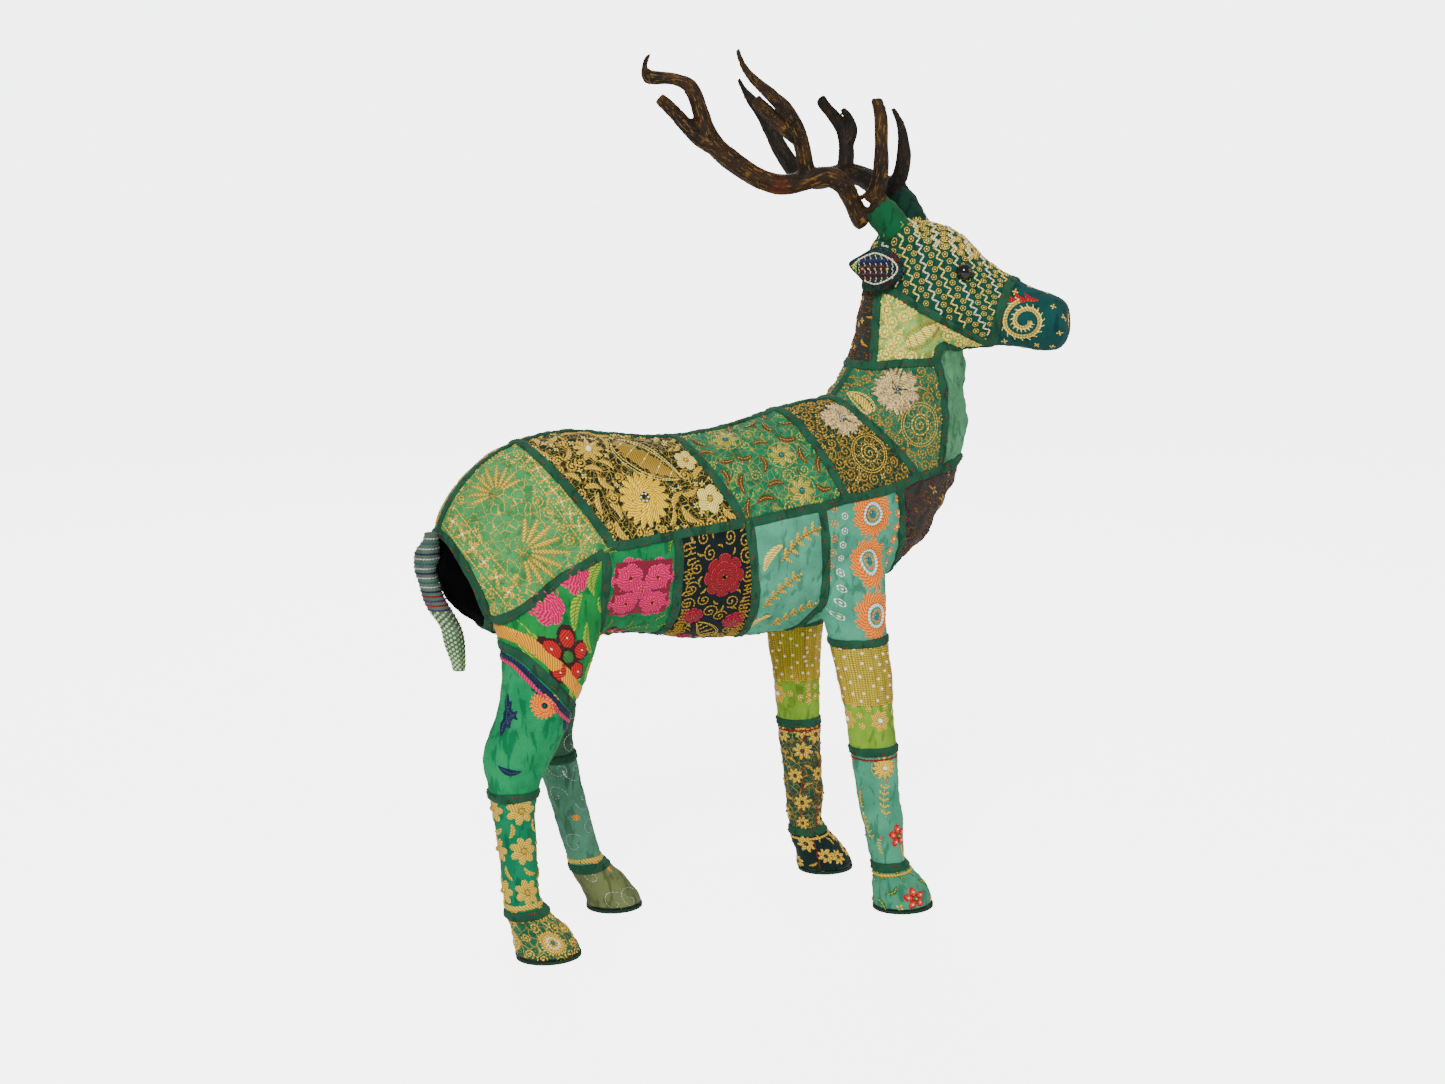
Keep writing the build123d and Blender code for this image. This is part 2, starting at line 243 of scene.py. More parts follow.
skin = make_skin()
skin_points = mesh_points(skin.data)
skin_normals = mesh_normals(skin.data)
skin_faces = mesh_faces(skin.data)
skin_tree = tree_of(skin_points, skin_faces)
PATCHES = sorted(n for n in frame["nodes"] if "_patch" in n)
LOOK_ROUND, LOOK_FAR = 30 * MM, 40 * MM      # how far off a face's patch is looked for
CHEEK_BACK = -4 * MM       # the cheek's cloth starts this far ahead of the ear


def middles_of_faces():
    return np.array([skin_points[list(f)].mean(0) for f in skin_faces])


def label_faces():
    """Each skin face belongs to the nearest cloth patch."""
    best = np.full(len(face_middles), 1e9)
    label = np.zeros(len(face_middles), int)
    for number, name in enumerate(PATCHES):
        low, high = (np.array(c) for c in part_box(name))
        near = np.all((face_middles > low - LOOK_ROUND) & (face_middles < high + LOOK_ROUND),
                      axis=1)
        mesh = frame["nodes"][name].data
        tree = tree_of(mesh_points(mesh), mesh_faces(mesh))
        for i in np.nonzero(near)[0]:
            hit = tree.find_nearest(Vector(face_middles[i]), LOOK_FAR)
            if hit[0] is not None and hit[3] < best[i]:
                best[i], label[i] = hit[3], number
    return label


def widen_cheeks():
    """The cheek's cloth also covers the front of the nape, forward of each ear."""
    across = (face_middles - np.array(EAR_MIDDLE)) @ np.array(SIDEWAYS)
    for side, sign in (("left", 1), ("right", -1)):
        ahead = (face_middles - np.array(centre("ear_" + side))) @ np.array(AHEAD)
        moved = (face_label == PATCHES.index("nape_patch")) & (ahead > CHEEK_BACK)
        face_label[moved & (across * sign > 0)] = PATCHES.index(f"cheek_{side}_patch")


def sides_of_edges():
    """For every skin edge, the faces on its two sides."""
    sides = {}
    for i, face in enumerate(skin_faces):
        for a, b in zip(face, face[1:] + face[:1]):
            sides.setdefault((min(a, b), max(a, b)), []).append(i)
    return sides


def tidy_labels(rounds):
    """A face surrounded by another patch joins it, which keeps the seams clean."""
    around_face = [[] for _ in skin_faces]
    for pair in edge_sides.values():
        if len(pair) == 2:
            around_face[pair[0]].append(pair[1])
            around_face[pair[1]].append(pair[0])
    for _ in range(rounds):
        for i, near in enumerate(around_face):
            labels = [face_label[j] for j in near]
            common = max(set(labels), key=labels.count) if labels else face_label[i]
            if labels.count(common) >= 3:
                face_label[i] = common


face_middles = middles_of_faces()
face_label = label_faces()
widen_cheeks()
edge_sides = sides_of_edges()
tidy_labels(4)


# --- seams -------------------------------------------------------------------------------
def walk(links):
    """Splits an edge network into runs of vertices."""
    runs, used = [], set()
    starts = [v for v, near in links.items() if len(near) == 1] + list(links)
    for start in starts:
        for first in links[start]:
            if (start, first) in used:
                continue
            run = [start, first]
            used.update({(start, first), (first, start)})
            while True:
                onward = [n for n in links[run[-1]] if (run[-1], n) not in used]
                if len(onward) != 1 or len(links[run[-1]]) > 2:
                    break
                used.update({(run[-1], onward[0]), (onward[0], run[-1])})
                run.append(onward[0])
            runs.append(run)
    return runs


def resample(points, step):
    """The polyline with points a step apart."""
    at = travelled(points)
    count = max(int(round(at[-1] / step)), 2) + 1
    wanted = np.linspace(0, at[-1], count)
    return np.stack([np.interp(wanted, at, points[:, k]) for k in range(3)], axis=1)


def on_skin(point):
    """The nearest place on the skin and the skin's direction there."""
    place, _, face, _ = skin_tree.find_nearest(Vector(point))
    corners = skin_faces[face]
    weights = [1 / (np.linalg.norm(skin_points[c] - np.array(place)) + 1e-5) for c in corners]
    normal = sum((Vector(skin_normals[c]) * w for c, w in zip(corners, weights)), Vector())
    return place, normal.normalized()


def smoothed(points, rounds=30):
    """The polyline smoothed; an open one keeps its ends."""
    closed = np.array_equal(points[0], points[-1])
    for _ in range(rounds):
        if closed:
            ring = points[:-1]
            ring = (np.roll(ring, 1, 0) + np.roll(ring, -1, 0) + 2 * ring) / 4
            points = np.vstack([ring, ring[:1]])
        else:
            points[1:-1] = (points[:-2] + points[2:] + 2 * points[1:-1]) / 4
    return points


def seam_runs():
    """The middle lines of all seams, each with its pair of patches."""
    nets = {}
    for (a, b), pair in edge_sides.items():
        if len(pair) == 2 and face_label[pair[0]] != face_label[pair[1]]:
            net = nets.setdefault(tuple(sorted(face_label[i] for i in pair)), {})
            net.setdefault(a, []).append(b)
            net.setdefault(b, []).append(a)
    return [(key, resample(smoothed(skin_points[run]), 2.6 * MM))
            for key in sorted(nets) for run in walk(nets[key])
            if travelled(skin_points[run])[-1] >= 5 * VOXEL]


seams = seam_runs()


# --- meshes gathered from many small strokes ----------------------------------------------
class Pile:
    """Quads gathered for one piece, each with a material, a texture place and a tint."""

    def __init__(self):
        self.points, self.quads, self.material, self.uv, self.tint = [], [], [], [], []
        self.count = 0

    def add(self, points, quads, material, uv, tint):
        self.points.append(np.asarray(points, float))
        self.quads.append(np.asarray(quads, int) + self.count)
        self.material.append(np.full(len(quads), material))
        self.uv.append(np.asarray(uv, float))
        self.tint.append(np.tile(np.asarray(tint, float), (len(points), 1)))
        self.count += len(points)

    def build(self, name, materials):
        points, quads = np.concatenate(self.points), np.concatenate(self.quads)
        mesh = bpy.data.meshes.new(name)
        mesh.vertices.add(len(points))
        mesh.vertices.foreach_set("co", points.ravel())
        mesh.loops.add(quads.size)
        mesh.loops.foreach_set("vertex_index", quads.ravel())
        mesh.polygons.add(len(quads))
        mesh.polygons.foreach_set("loop_start", np.arange(0, quads.size, 4))
        mesh.polygons.foreach_set("material_index", np.concatenate(self.material))
        mesh.polygons.foreach_set("use_smooth", np.ones(len(quads), bool))
        mesh.update(calc_edges=True)
        layer = mesh.uv_layers.new(name="Cloth")
        layer.data.foreach_set("uv", np.concatenate(self.uv)[quads.ravel()].ravel())
        tint = mesh.color_attributes.new("Tint", "FLOAT_COLOR", "POINT")
        tint.data.foreach_set("color", np.concatenate(self.tint).ravel())
        for material in materials:
            mesh.materials.append(material)
        return linked(name, mesh)


def lengths_of_sides(quads):
    return np.linalg.norm(quads - np.roll(quads, 1, axis=1), axis=2)


def grid_quads(rows, columns, closed=False):
    """Quads of a grid of points, rows by columns."""
    i, j = np.meshgrid(np.arange(rows - 1), np.arange(columns - (not closed)), indexing="ij")
    a = i * columns + j
    b = i * columns + (j + 1) % columns
    return np.stack([a, b, b + columns, a + columns], axis=-1).reshape(-1, 4)


# --- materials ------------------------------------------------------------------------------
WAVE = 0.159                # scale at which a wave texture repeats once in a metre
THREAD_PITCH = 0.75 * MM


class Graph:
    """A short way to write a material's node tree."""

    def __init__(self, name):
        self.material = bpy.data.materials.new(name)
        self.material.use_nodes = True
        self.tree = self.material.node_tree
        self.shader = self.tree.nodes["Principled BSDF"]

    def node(self, kind, settings=None, **inputs):
        made = self.tree.nodes.new("ShaderNode" + kind)
        for key, value in (settings or {}).items():
            setattr(made, key, value)
        for key, value in inputs.items():
            self.link(made.inputs[key], value)
        return made

    def link(self, socket, value):
        if isinstance(value, bpy.types.NodeSocket):
            self.tree.links.new(value, socket)
        else:
            socket.default_value = value

    def math(self, operation, a, b=0.0):
        made = self.node("Math", {"operation": operation})
        self.link(made.inputs[0], a)
        self.link(made.inputs[1], b)
        return made.outputs[0]

    def times(self, a, b):
        return self.math("MULTIPLY", a, b)

    def mix(self, factor, a, b, blend="MIX"):
        made = self.node("Mix", {"data_type": "RGBA", "blend_type": blend})
        self.link(made.inputs[0], factor)
        self.link(made.inputs[6], (*a, 1) if isinstance(a, tuple) else a)
        self.link(made.inputs[7], (*b, 1) if isinstance(b, tuple) else b)
        return made.outputs[2]

    def ramp(self, value, low, high):
        made = self.node("MapRange", {"interpolation_type": "SMOOTHSTEP"})
        self.link(made.inputs[0], value)
        made.inputs[1].default_value = low
        made.inputs[2].default_value = high
        return made.outputs[0]

    def place(self, scale, name="UV"):
        """Texture places in units of 1/scale metre."""
        mapping = self.node("Mapping", Vector=self.node("TexCoord").outputs[name])
        mapping.inputs[3].default_value = scale if isinstance(scale, tuple) else (scale,) * 3
        return mapping.outputs[0]

    def cloud(self, scale, detail, stretch=1.0, **more):
        """Soft noise in the object's own space."""
        return self.node("TexNoise", Vector=self.place(stretch, "Object"), Scale=scale,
                         Detail=detail, **more).outputs[0]

    def waves(self, direction, pitch, **more):
        return self.node("TexWave", {"bands_direction": direction}, Vector=self.place(1.0),
                         Scale=WAVE / pitch, **more).outputs[1]

    def bump(self, height, distance, strength=1.0, normal=None):
        made = self.node("Bump", Height=height, Distance=distance, Strength=strength)
        if normal is not None:
            self.link(made.inputs["Normal"], normal)
        return made.outputs[0]

    def finish(self, colour, roughness, normal=None, metallic=0.0, sheen=0.0, specular=0.5):
        shader = self.shader.inputs
        self.link(shader["Base Color"], (*colour, 1) if isinstance(colour, tuple) else colour)
        self.link(shader["Roughness"], roughness)
        self.link(shader["Metallic"], metallic)
        if normal is not None:
            self.link(shader["Normal"], normal)
        shader["Sheen Weight"].default_value = sheen
        shader["Specular IOR Level"].default_value = specular
        return self.material


def shade(colour, factor, more=0.0):
    return tuple(min(c * factor + more, 1) for c in colour)


def weave(graph):
    """Height of a plain weave."""
    return graph.math("MAXIMUM", graph.waves("X", THREAD_PITCH), graph.waves("Y", THREAD_PITCH))


def dye_and_thread_highlight(graph, colour, dark, cloud, threads, share):
    """Uneven dye, with a painted highlight on the raised threads."""
    tone = graph.mix(graph.ramp(cloud, 0.35, 0.65), shade(colour, dark), colour)
    return graph.mix(graph.times(threads, share), tone, shade(colour, 1.5, 0.01))


def painted_fold_shade(graph, tone, colour, fold, share):
    """Painted shade: darker lines in the folds."""
    return graph.mix(graph.times(graph.ramp(fold, 0.46, 0.36), share), tone, shade(colour, 0.35))


def cotton(name, colour, dark=0.62, wrinkle=0.8):
    """Plain woven cloth with soft wrinkles."""
    graph = Graph(name)
    threads = weave(graph)
    fold = graph.cloud(120.0, 3.0, (1.0, 1.0, 0.35), Distortion=0.6)
    # uneven dye, and a painted highlight on the raised threads of the weave
    tone = dye_and_thread_highlight(graph, colour, dark, graph.cloud(45.0, 4.0), threads, 0.35)
    # painted shade: the cloth colour is darkened along the folds
    tone = painted_fold_shade(graph, tone, colour, fold, 0.6)
    normal = graph.bump(threads, 0.12 * MM)
    normal = graph.bump(fold, 1.6 * MM, wrinkle, normal)
    return graph.finish(tone, 0.88, normal, sheen=0.03, specular=0.15)


def brocade(name, colour, gold, cell, cover, second=None, metal=0.35):
    """Woven cloth with an all-over stitched pattern: curling lines in a net."""
    graph = Graph(name)
    threads = weave(graph)
    warp = graph.node("TexNoise", Vector=graph.place(0.55 / cell), Scale=1.0, Detail=1.0)
    drift = graph.node("VectorMath", {"operation": "MULTIPLY_ADD"})
    for socket, value in zip(drift.inputs, (warp.outputs[1], (1.3, 1.3, 0), graph.place(1 / cell))):
        graph.link(socket, value)

    def cells(feature, scale=1.0):
        return graph.node("TexVoronoi", {"feature": feature}, Vector=drift.outputs[0], Scale=scale)
    curl = graph.math("SINE", graph.times(cells("F1").outputs[0], 19.0))
    lines = graph.ramp(curl, 1.0 - cover * 1.5, 1.0 - cover * 1.5 + 0.2)
    net = graph.math("SUBTRACT", 1.0, graph.ramp(cells("DISTANCE_TO_EDGE").outputs[0], 0.02, 0.05))
    dashes = graph.waves("DIAGONAL", 1.1 * MM, Distortion=2.0, Detail=1.0)
    cord = graph.times(graph.math("MAXIMUM", lines, net),
                       graph.math("ADD", 0.55, graph.times(dashes, 0.45)))
    # uneven dye, and a painted highlight on the raised threads of the weave
    ground = dye_and_thread_highlight(graph, colour, 0.6, graph.cloud(60.0, 3.0), threads, 0.3)
    if second:
        patchy = graph.node("SeparateColor", Color=cells("F1", 0.45).outputs[1]).outputs[0]
        gold = graph.mix(graph.ramp(patchy, 0.45, 0.55), gold, second)
    fold = graph.cloud(90.0, 3.0)
    # painted shade: the cloth colour is darkened along the folds
    tone = painted_fold_shade(graph, graph.mix(cord, ground, gold), colour, fold, 0.5)
    normal = graph.bump(threads, 0.1 * MM)
    normal = graph.bump(cord, 0.9 * MM, 1.0, normal)
    normal = graph.bump(fold, 1.2 * MM, 0.5, normal)
    return graph.finish(tone, graph.math("SUBTRACT", 0.88, graph.times(cord, 0.4)), normal,
                        graph.times(cord, metal), 0.03, 0.2)


def velvet(name, colour):
    graph = Graph(name)
    painted_pile_sheen = graph.cloud(70.0, 4.0, Distortion=1.0)
    # painted sheen: cloudy patches four times lighter stand in for light on the brushed pile
    tone = graph.mix(graph.ramp(painted_pile_sheen, 0.35, 0.7), colour, shade(colour, 4))
    return graph.finish(tone, 0.95, graph.bump(graph.cloud(1400.0, 2.0), 0.3 * MM), specular=0.04)


def tinted(name, roughness, ridges, specular):
    """Thread, bead or sequin: its colour comes with each stroke, and alpha says how metallic."""
    graph = Graph(name)
    tint = graph.node("Attribute", {"attribute_name": "Tint"})
    normal, tone = None, tint.outputs[0]
    if ridges:
        strands = graph.waves("DIAGONAL", 0.8 * MM, Distortion=0.6, Detail=1.0)
        # painted light and shade: the thread colour is darkened and lightened along its strands
        light = graph.math("ADD", 0.38, graph.times(strands, 0.85))
        light = graph.node("CombineColor", Red=light, Green=light, Blue=light).outputs[0]
        tone = graph.mix(1.0, tone, light, "MULTIPLY")
        normal = graph.bump(strands, 0.3 * MM)
    return graph.finish(tone, roughness, normal, tint.outputs[3], specular=specular)


def mottled(name, dark, light, scale, roughness, bump=0.0, metallic=0.0):
    """A plain material with a fine cloudy grain."""
    graph = Graph(name)
    cloud = graph.cloud(scale, 4.0)
    normal = graph.bump(cloud, bump) if bump else None
    return graph.finish(graph.mix(cloud, dark, light), roughness, normal, metallic)


def bark(name, deep, mid, pale, red):
    """Bark with pale wrinkles that follow each branch."""
    graph = Graph(name)
    place = graph.node("Attribute", {"attribute_name": "Bark"}).outputs[1]
    lines = graph.node("TexNoise", Vector=place, Scale=620.0, Detail=3.0, Roughness=0.6).outputs[0]
    fine = graph.node("TexNoise", Vector=place, Scale=1900.0, Detail=2.0).outputs[0]
    tone = graph.mix(graph.ramp(graph.cloud(42.0, 3.0), 0.36, 0.66), deep, mid)
    for pattern, low, high, share, colour in (
            (lines, 0.52, 0.68, 0.6, pale), (fine, 0.55, 0.75, 0.4, deep),
            (graph.cloud(17.0, 1.0), 0.60, 0.70, 0.55, red)):
        tone = graph.mix(graph.times(graph.ramp(pattern, low, high), share), tone, colour)
    height = graph.math("ADD", lines, graph.times(fine, 0.4))
    return graph.finish(tone, 0.6, graph.bump(height, 1.1 * MM), specular=0.2)


# --- charts: flat maps of the skin ------------------------------------------------------------
ROUND = ("forearm", "shin", "hoof", "gaskin", "muzzle", "crown")
MIDLINE = centre("velvet_patch").y
SLICES = 8                 # parts of a limb, each with its own middle
SLICE_OVERLAP = 4 * MM
CAST_ROUND, CAST_FLAT, CAST_REACH = 75 * MM, 90 * MM, 200 * MM


def around(grid, mode="constant"):
    """The four neighbours of every cell of a grid."""
    wide = np.pad(grid, [(1, 1), (1, 1)] + [(0, 0)] * (grid.ndim - 2), mode=mode)
    return wide[:-2, 1:-1], wide[2:, 1:-1], wide[1:-1, :-2], wide[1:-1, 2:]


class Chart:
    """A flat map of one patch.  Places on it are (across, up) in millimetres from its middle."""

    def __init__(self, patch):
        self.label = PATCHES.index(patch)
        self.faces = np.nonzero(face_label == self.label)[0]
        middles = face_middles[self.faces]
        self.origin = middles.mean(0)
        self.round = any(word in patch for word in ROUND)
        if self.round:
            self.make_round(patch, middles)
        else:
            corners = np.array([skin_faces[i] for i in self.faces])
            self.make_flat(skin_normals[corners].mean(1).mean(0))
        self.uv = self.flatten(middles)
        self.make_grid()

    def make_flat(self, normal):
        self.out = unit(normal)
        self.across = unit(np.cross((0, 0, 1), self.out))
        self.up = np.cross(self.out, self.across)

    def make_round(self, patch, middles):
        """Around a limb or the head: middles along the axis, and the way that counts as front."""
        if "muzzle" in patch or "crown" in patch:
            self.axis = np.array((EAR_MIDDLE - MUZZLE_MIDDLE).normalized())
            self.foot, front = np.array(MUZZLE_MIDDLE), np.array(-SIDEWAYS)
        else:
            self.axis, self.foot = np.array(UP), self.origin
            front = np.array((0.0, math.copysign(1, self.origin[1] - MIDLINE), 0.0))
        along = (middles - self.foot) @ self.axis
        bins = np.linspace(along.min(), along.max(), SLICES + 1)
        self.heights = (bins[:-1] + bins[1:]) / 2
        self.centres = np.tile(self.foot, (SLICES, 1))
        if "crown" not in patch:
            flat = middles - np.outer(along, self.axis)
            for k, (low, high) in enumerate(zip(bins, bins[1:])):
                near = flat[(along >= low - SLICE_OVERLAP) & (along <= high + SLICE_OVERLAP)]
                self.centres[k] = (near.min(0) + near.max(0)) / 2
        self.front = unit(front - self.axis * (front @ self.axis))
        self.right = np.cross(self.axis, self.front)
        self.radius = np.linalg.norm(middles - self.middle_at(along), axis=1).mean()

    def middle_at(self, along):
        """The limb's middle at a distance along its axis."""
        flat = np.stack([np.interp(along, self.heights, self.centres[:, k]) for k in range(3)],
                        axis=-1)
        return flat + np.multiply.outer(along - (flat - self.foot) @ self.axis, self.axis)

    def flatten(self, points):
        """Where points lie on the map, in millimetres."""
        if not self.round:
            offset = points - self.origin
            return np.stack([offset @ self.across, offset @ self.up], axis=-1) / MM
        along = (points - self.foot) @ self.axis
        spread = points - self.middle_at(along)
        angle = np.arctan2(spread @ self.right, spread @ self.front)
        return np.stack([angle * self.radius, along], axis=-1) / MM

    def make_grid(self):
        """Skin places and directions at every cell, and how deep in the patch the cell is."""
        step = CELL / MM
        low, high = self.uv.min(0) - 4 * step, self.uv.max(0) + 4 * step
        if self.round:
            half_turn = math.pi * self.radius / MM
            if high[0] - low[0] > 1.7 * half_turn:
                low[0], high[0] = -half_turn, half_turn
        self.low, self.shape = low, np.maximum(((high - low) / step).astype(int) + 2, 2)
        self.places, self.normals = np.zeros((2, *self.shape, 3))
        self.good, self.own = np.zeros((2, *self.shape), bool)
        for i, j in np.ndindex(*self.shape):
            self.cast(i, j, (low[0] + step * i) * MM, (low[1] + step * j) * MM)
        self.near = np.logical_or.reduce((self.own, *around(self.own)))
        for _ in range(3):
            self.normals = (sum(around(self.normals, "edge")) + 2 * self.normals) / 6
        self.normals = unit(self.normals)
        self.depth, inside = np.zeros(self.shape), self.own.copy()
        while inside.any():
            self.depth += inside
            inside = np.logical_and.reduce((inside, *around(inside)))
        self.depth *= step
        self.spots = np.argwhere(self.own) * step + low
        self.extent = self.spots.min(0), self.spots.max(0)

    def cast(self, i, j, u, v):
        if self.round:
            angle = u / self.radius
            way = self.front * math.cos(angle) + self.right * math.sin(angle)
            start = self.middle_at(np.array(v)) + way * CAST_ROUND
            way = -way
        else:
            start = self.origin + self.across * u + self.up * v + self.out * CAST_FLAT
            way = -self.out
        hit, normal, face, _ = skin_tree.ray_cast(Vector(start), Vector(way), CAST_REACH)
        if hit is not None:
            self.places[i, j], self.normals[i, j], self.good[i, j] = hit, normal, True
            self.own[i, j] = face_label[face] == self.label

    def look_up(self, uv):
        """Grid cell and share within it for places on the map."""
        at = (uv - self.low) / (CELL / MM)
        if self.round:
            at[..., 0] = np.mod(at[..., 0], self.shape[0] - 2)
        cell = np.clip(at.astype(int), 0, self.shape - 2)
        return cell, np.clip(at - cell, 0, 1)

    def lift(self, uv, height):
        """Map places raised above the skin, and which of them lie soundly on the patch."""
        cell, share = self.look_up(np.array(uv, float))
        i, j = cell[:, 0], cell[:, 1]
        s, t = share[:, :1], share[:, 1:]

        def blend(grid):
            return ((grid[i, j] * (1 - s) + grid[i + 1, j] * s) * (1 - t)
                    + (grid[i, j + 1] * (1 - s) + grid[i + 1, j + 1] * s) * t)
        sound = self.good[i, j] & self.good[i + 1, j] & self.good[i, j + 1]
        sound &= self.good[i + 1, j + 1] & self.near[i, j]
        return blend(self.places) + blend(self.normals) * (height[:, None] * MM), sound

    def room(self, u, v):
        """Distance in millimetres from a map place to the patch's edge."""
        cell, _ = self.look_up(np.array([[u, v]], float))
        return self.depth[cell[0, 0], cell[0, 1]]

    def place_of(self, share_u, share_v):
        """A map place given as shares of the patch's extent."""
        low, high = self.extent
        return low + (high - low) * (share_u, share_v)

    def band(self, zone):
        """The heights on the map of a zone given as shares of the patch's extent."""
        return [self.place_of(0.5, share)[1] for share in zone]


# --- thread colours -----------------------------------------------------------------------------
GOLD = dye(222, 188, 78, 0.25)
PALE_GOLD = dye(238, 218, 126, 0.15)
ANTIQUE = dye(184, 152, 62, 0.3)
BRONZE = dye(122, 84, 40, 0.35)
GREEN_GOLD = dye(190, 180, 90, 0.45)
STRAW = dye(250, 226, 120)
CREAM = dye(236, 224, 190)
PEACH = dye(230, 204, 150)
SILVER = dye(196, 198, 196, 0.7)
PINK = dye(216, 8, 108)
LIGHT_PINK = dye(238, 84, 154)
DEEP_PINK = dye(146, 6, 62)
CRIMSON = dye(150, 10, 32)
RED = dye(190, 12, 16)
MAROON = dye(72, 8, 22)
ORANGE = dye(250, 146, 2)
YELLOW = dye(244, 204, 60)
CORAL = dye(230, 70, 50)
PURPLE = dye(96, 44, 120)
LEAF = dye(58, 128, 62)
LIME = dye(150, 178, 60)
TEAL = dye(16, 110, 108)
NAVY = dye(24, 34, 84)
WHITE = dye(240, 238, 228)
STITCH = dye(140, 58, 44)
HEM = dye(24, 66, 50)

CLOTH, THREAD, BEAD = 0, 1, 2        # material places on every sewn piece


# --- strokes on a chart -----------------------------------------------------------------------------
def circle(radius, angles):
    return np.stack([radius * np.cos(angles), radius * np.sin(angles)], axis=1)


def crosswise(line):
    """The direction to the left of a flat line, at each of its points."""
    ahead = unit(np.gradient(line, axis=0))
    return np.stack([-ahead[:, 1], ahead[:, 0]], axis=1)


HERE = (0, 0, 1, 0)        # a spot at the map's middle, in millimetres
CAP = [[16, 17, 18, 19], [16, 19, 20, 23], [20, 21, 22, 23]]     # the top of a bead


class Needle:
    """Draws raised strokes on a chart and adds them to a pile."""

    def __init__(self, chart, pile, base=0.5):
        self.chart, self.pile, self.base = chart, pile, base

    def place(self, points, spot):
        """Turns motif points to the spot: (u, v, size, turn)."""
        u, v, size, turn = spot
        c, s = math.cos(turn) * size, math.sin(turn) * size
        points = np.asarray(points, float)
        return np.stack([u + points[:, 0] * c - points[:, 1] * s,
                         v + points[:, 0] * s + points[:, 1] * c], axis=1)

    def blade(self, path, widths, tint, spot=HERE, height=1.0,
              across=(-1.0, -0.62, 0.0, 0.62, 1.0), lift=0.0):
        """A domed band along a path; widths are half widths in motif units."""
        line = self.place(path, spot)
        widths = np.broadcast_to(np.asarray(widths, float), len(line)) * spot[2]
        across = np.array(across)
        wide = widths[:, None] * across
        uv = line[:, None] + crosswise(line)[:, None] * wide[..., None]
        full = np.sqrt(np.clip(widths / max(widths.max(), 1e-9), 0, 1))
        rise = self.base + lift + height * full[:, None] * (1 - across ** 2)[None] - 0.25
        uv = uv.reshape(-1, 2)
        lifted, sound = self.chart.lift(uv, rise.ravel())
        quads = grid_quads(len(line), len(across))
        quads = quads[sound[quads].all(1)]
        tear = lengths_of_sides(lifted[quads]) - lengths_of_sides(uv[quads]) * MM
        quads = quads[(tear < TORN).all(1)]
        if not len(quads):
            return
        cloth = np.stack([np.repeat(travelled(line), len(across)), wide.ravel()], axis=1) * MM
        used, quads = np.unique(quads, return_inverse=True)
        self.pile.add(lifted[used], quads.reshape(-1, 4), THREAD, cloth[used], tint)

    def cord(self, path, radius, tint, spot=HERE, lift=0.0):
        """A round cord; the radius is in millimetres whatever the motif's size."""
        self.blade(path, radius / spot[2], tint, spot, 1.5 * radius, (-1.0, 0.0, 1.0), lift)

    def bead(self, at, radius, tint, spot=HERE, material=BEAD, flat=0.9):
        """A dome; the radius is in millimetres."""
        middle = self.place([at], spot)[0]
        ring = circle(1.0, np.linspace(0, TURN, 9)[:-1])
        rings = [(1.0, -0.2), (0.8, 0.6), (0.38, 0.95)]
        uv = np.concatenate([middle + ring * radius * r for r, _ in rings])
        rise = np.concatenate([np.full(8, self.base + h * radius * flat) for _, h in rings])
        lifted, sound = self.chart.lift(uv, rise)
        if sound.all():
            quads = np.concatenate([grid_quads(3, 8, closed=True), CAP])
            self.pile.add(lifted, quads, material, uv * MM, tint)

    def ring(self, at, radius, cord, tint, spot=HERE, turns=14):
        self.cord(circle(radius, np.linspace(0, TURN, turns + 1)) + at, cord, tint, spot)


# --- motifs, drawn about a spot (u, v, size, turn) with size their radius in millimetres ----------
def petal_path(angle, inner, outer, count=5, bend=0.0):
    t = np.linspace(0, 1, count)
    return circle(inner + (outer - inner) * t, angle + bend * t)


def petal_widths(width, count=5):
    t = np.linspace(0, 1, count)
    return width * np.sin(math.pi * (0.12 + 0.76 * t)) ** 0.8


def turns(count, start=0.0):
    return [TURN * k / count + start for k in range(count)]


def at_angle(radius, angle):
    return circle(radius, np.array([angle]))[0]


def petals(needle, spot, angles, inner, outer, width, tint, height=1.0, lift=0.0, count=5):
    for angle in angles:
        needle.blade(petal_path(angle, inner, outer, count), petal_widths(width, count), tint,
                     spot, height, lift=lift)


def daisy(needle, spot, tint, heart, count=8, fat=1.0, outline=None):
    petals(needle, spot, turns(count), 0.24, 1.0, fat * 0.62 * math.pi / count, tint, 1.1)
    if outline:
        needle.ring((0, 0), 1.1, 0.45, outline, spot, 20)
    needle.bead((0, 0), 0.24 * spot[2], heart, spot)


def rose(needle, spot, deep, pale):
    """Three rings of broad petals, each with a paler rim, round gold beads."""
    for reach, count, lift in ((1.0, 8, 0.0), (0.70, 6, 0.7), (0.40, 4, 1.4)):
        angles = [TURN * (k + reach) / count for k in range(count)]
        petals(needle, spot, angles, 0.22 * reach, reach, 1.1 * reach * math.pi / count, deep,
               lift=lift)
        share = np.linspace(-0.85, 0.85, 7)
        for angle in angles:
            rim = circle(reach * (1.0 - 0.12 * share ** 2), angle + share * math.pi / count)
            needle.cord(rim, 0.34, pale, spot, lift=lift + 0.3)
    for k in range(3):
        needle.bead(at_angle(0.12, 2.1 * k), 0.8, GOLD, spot, flat=2.6)


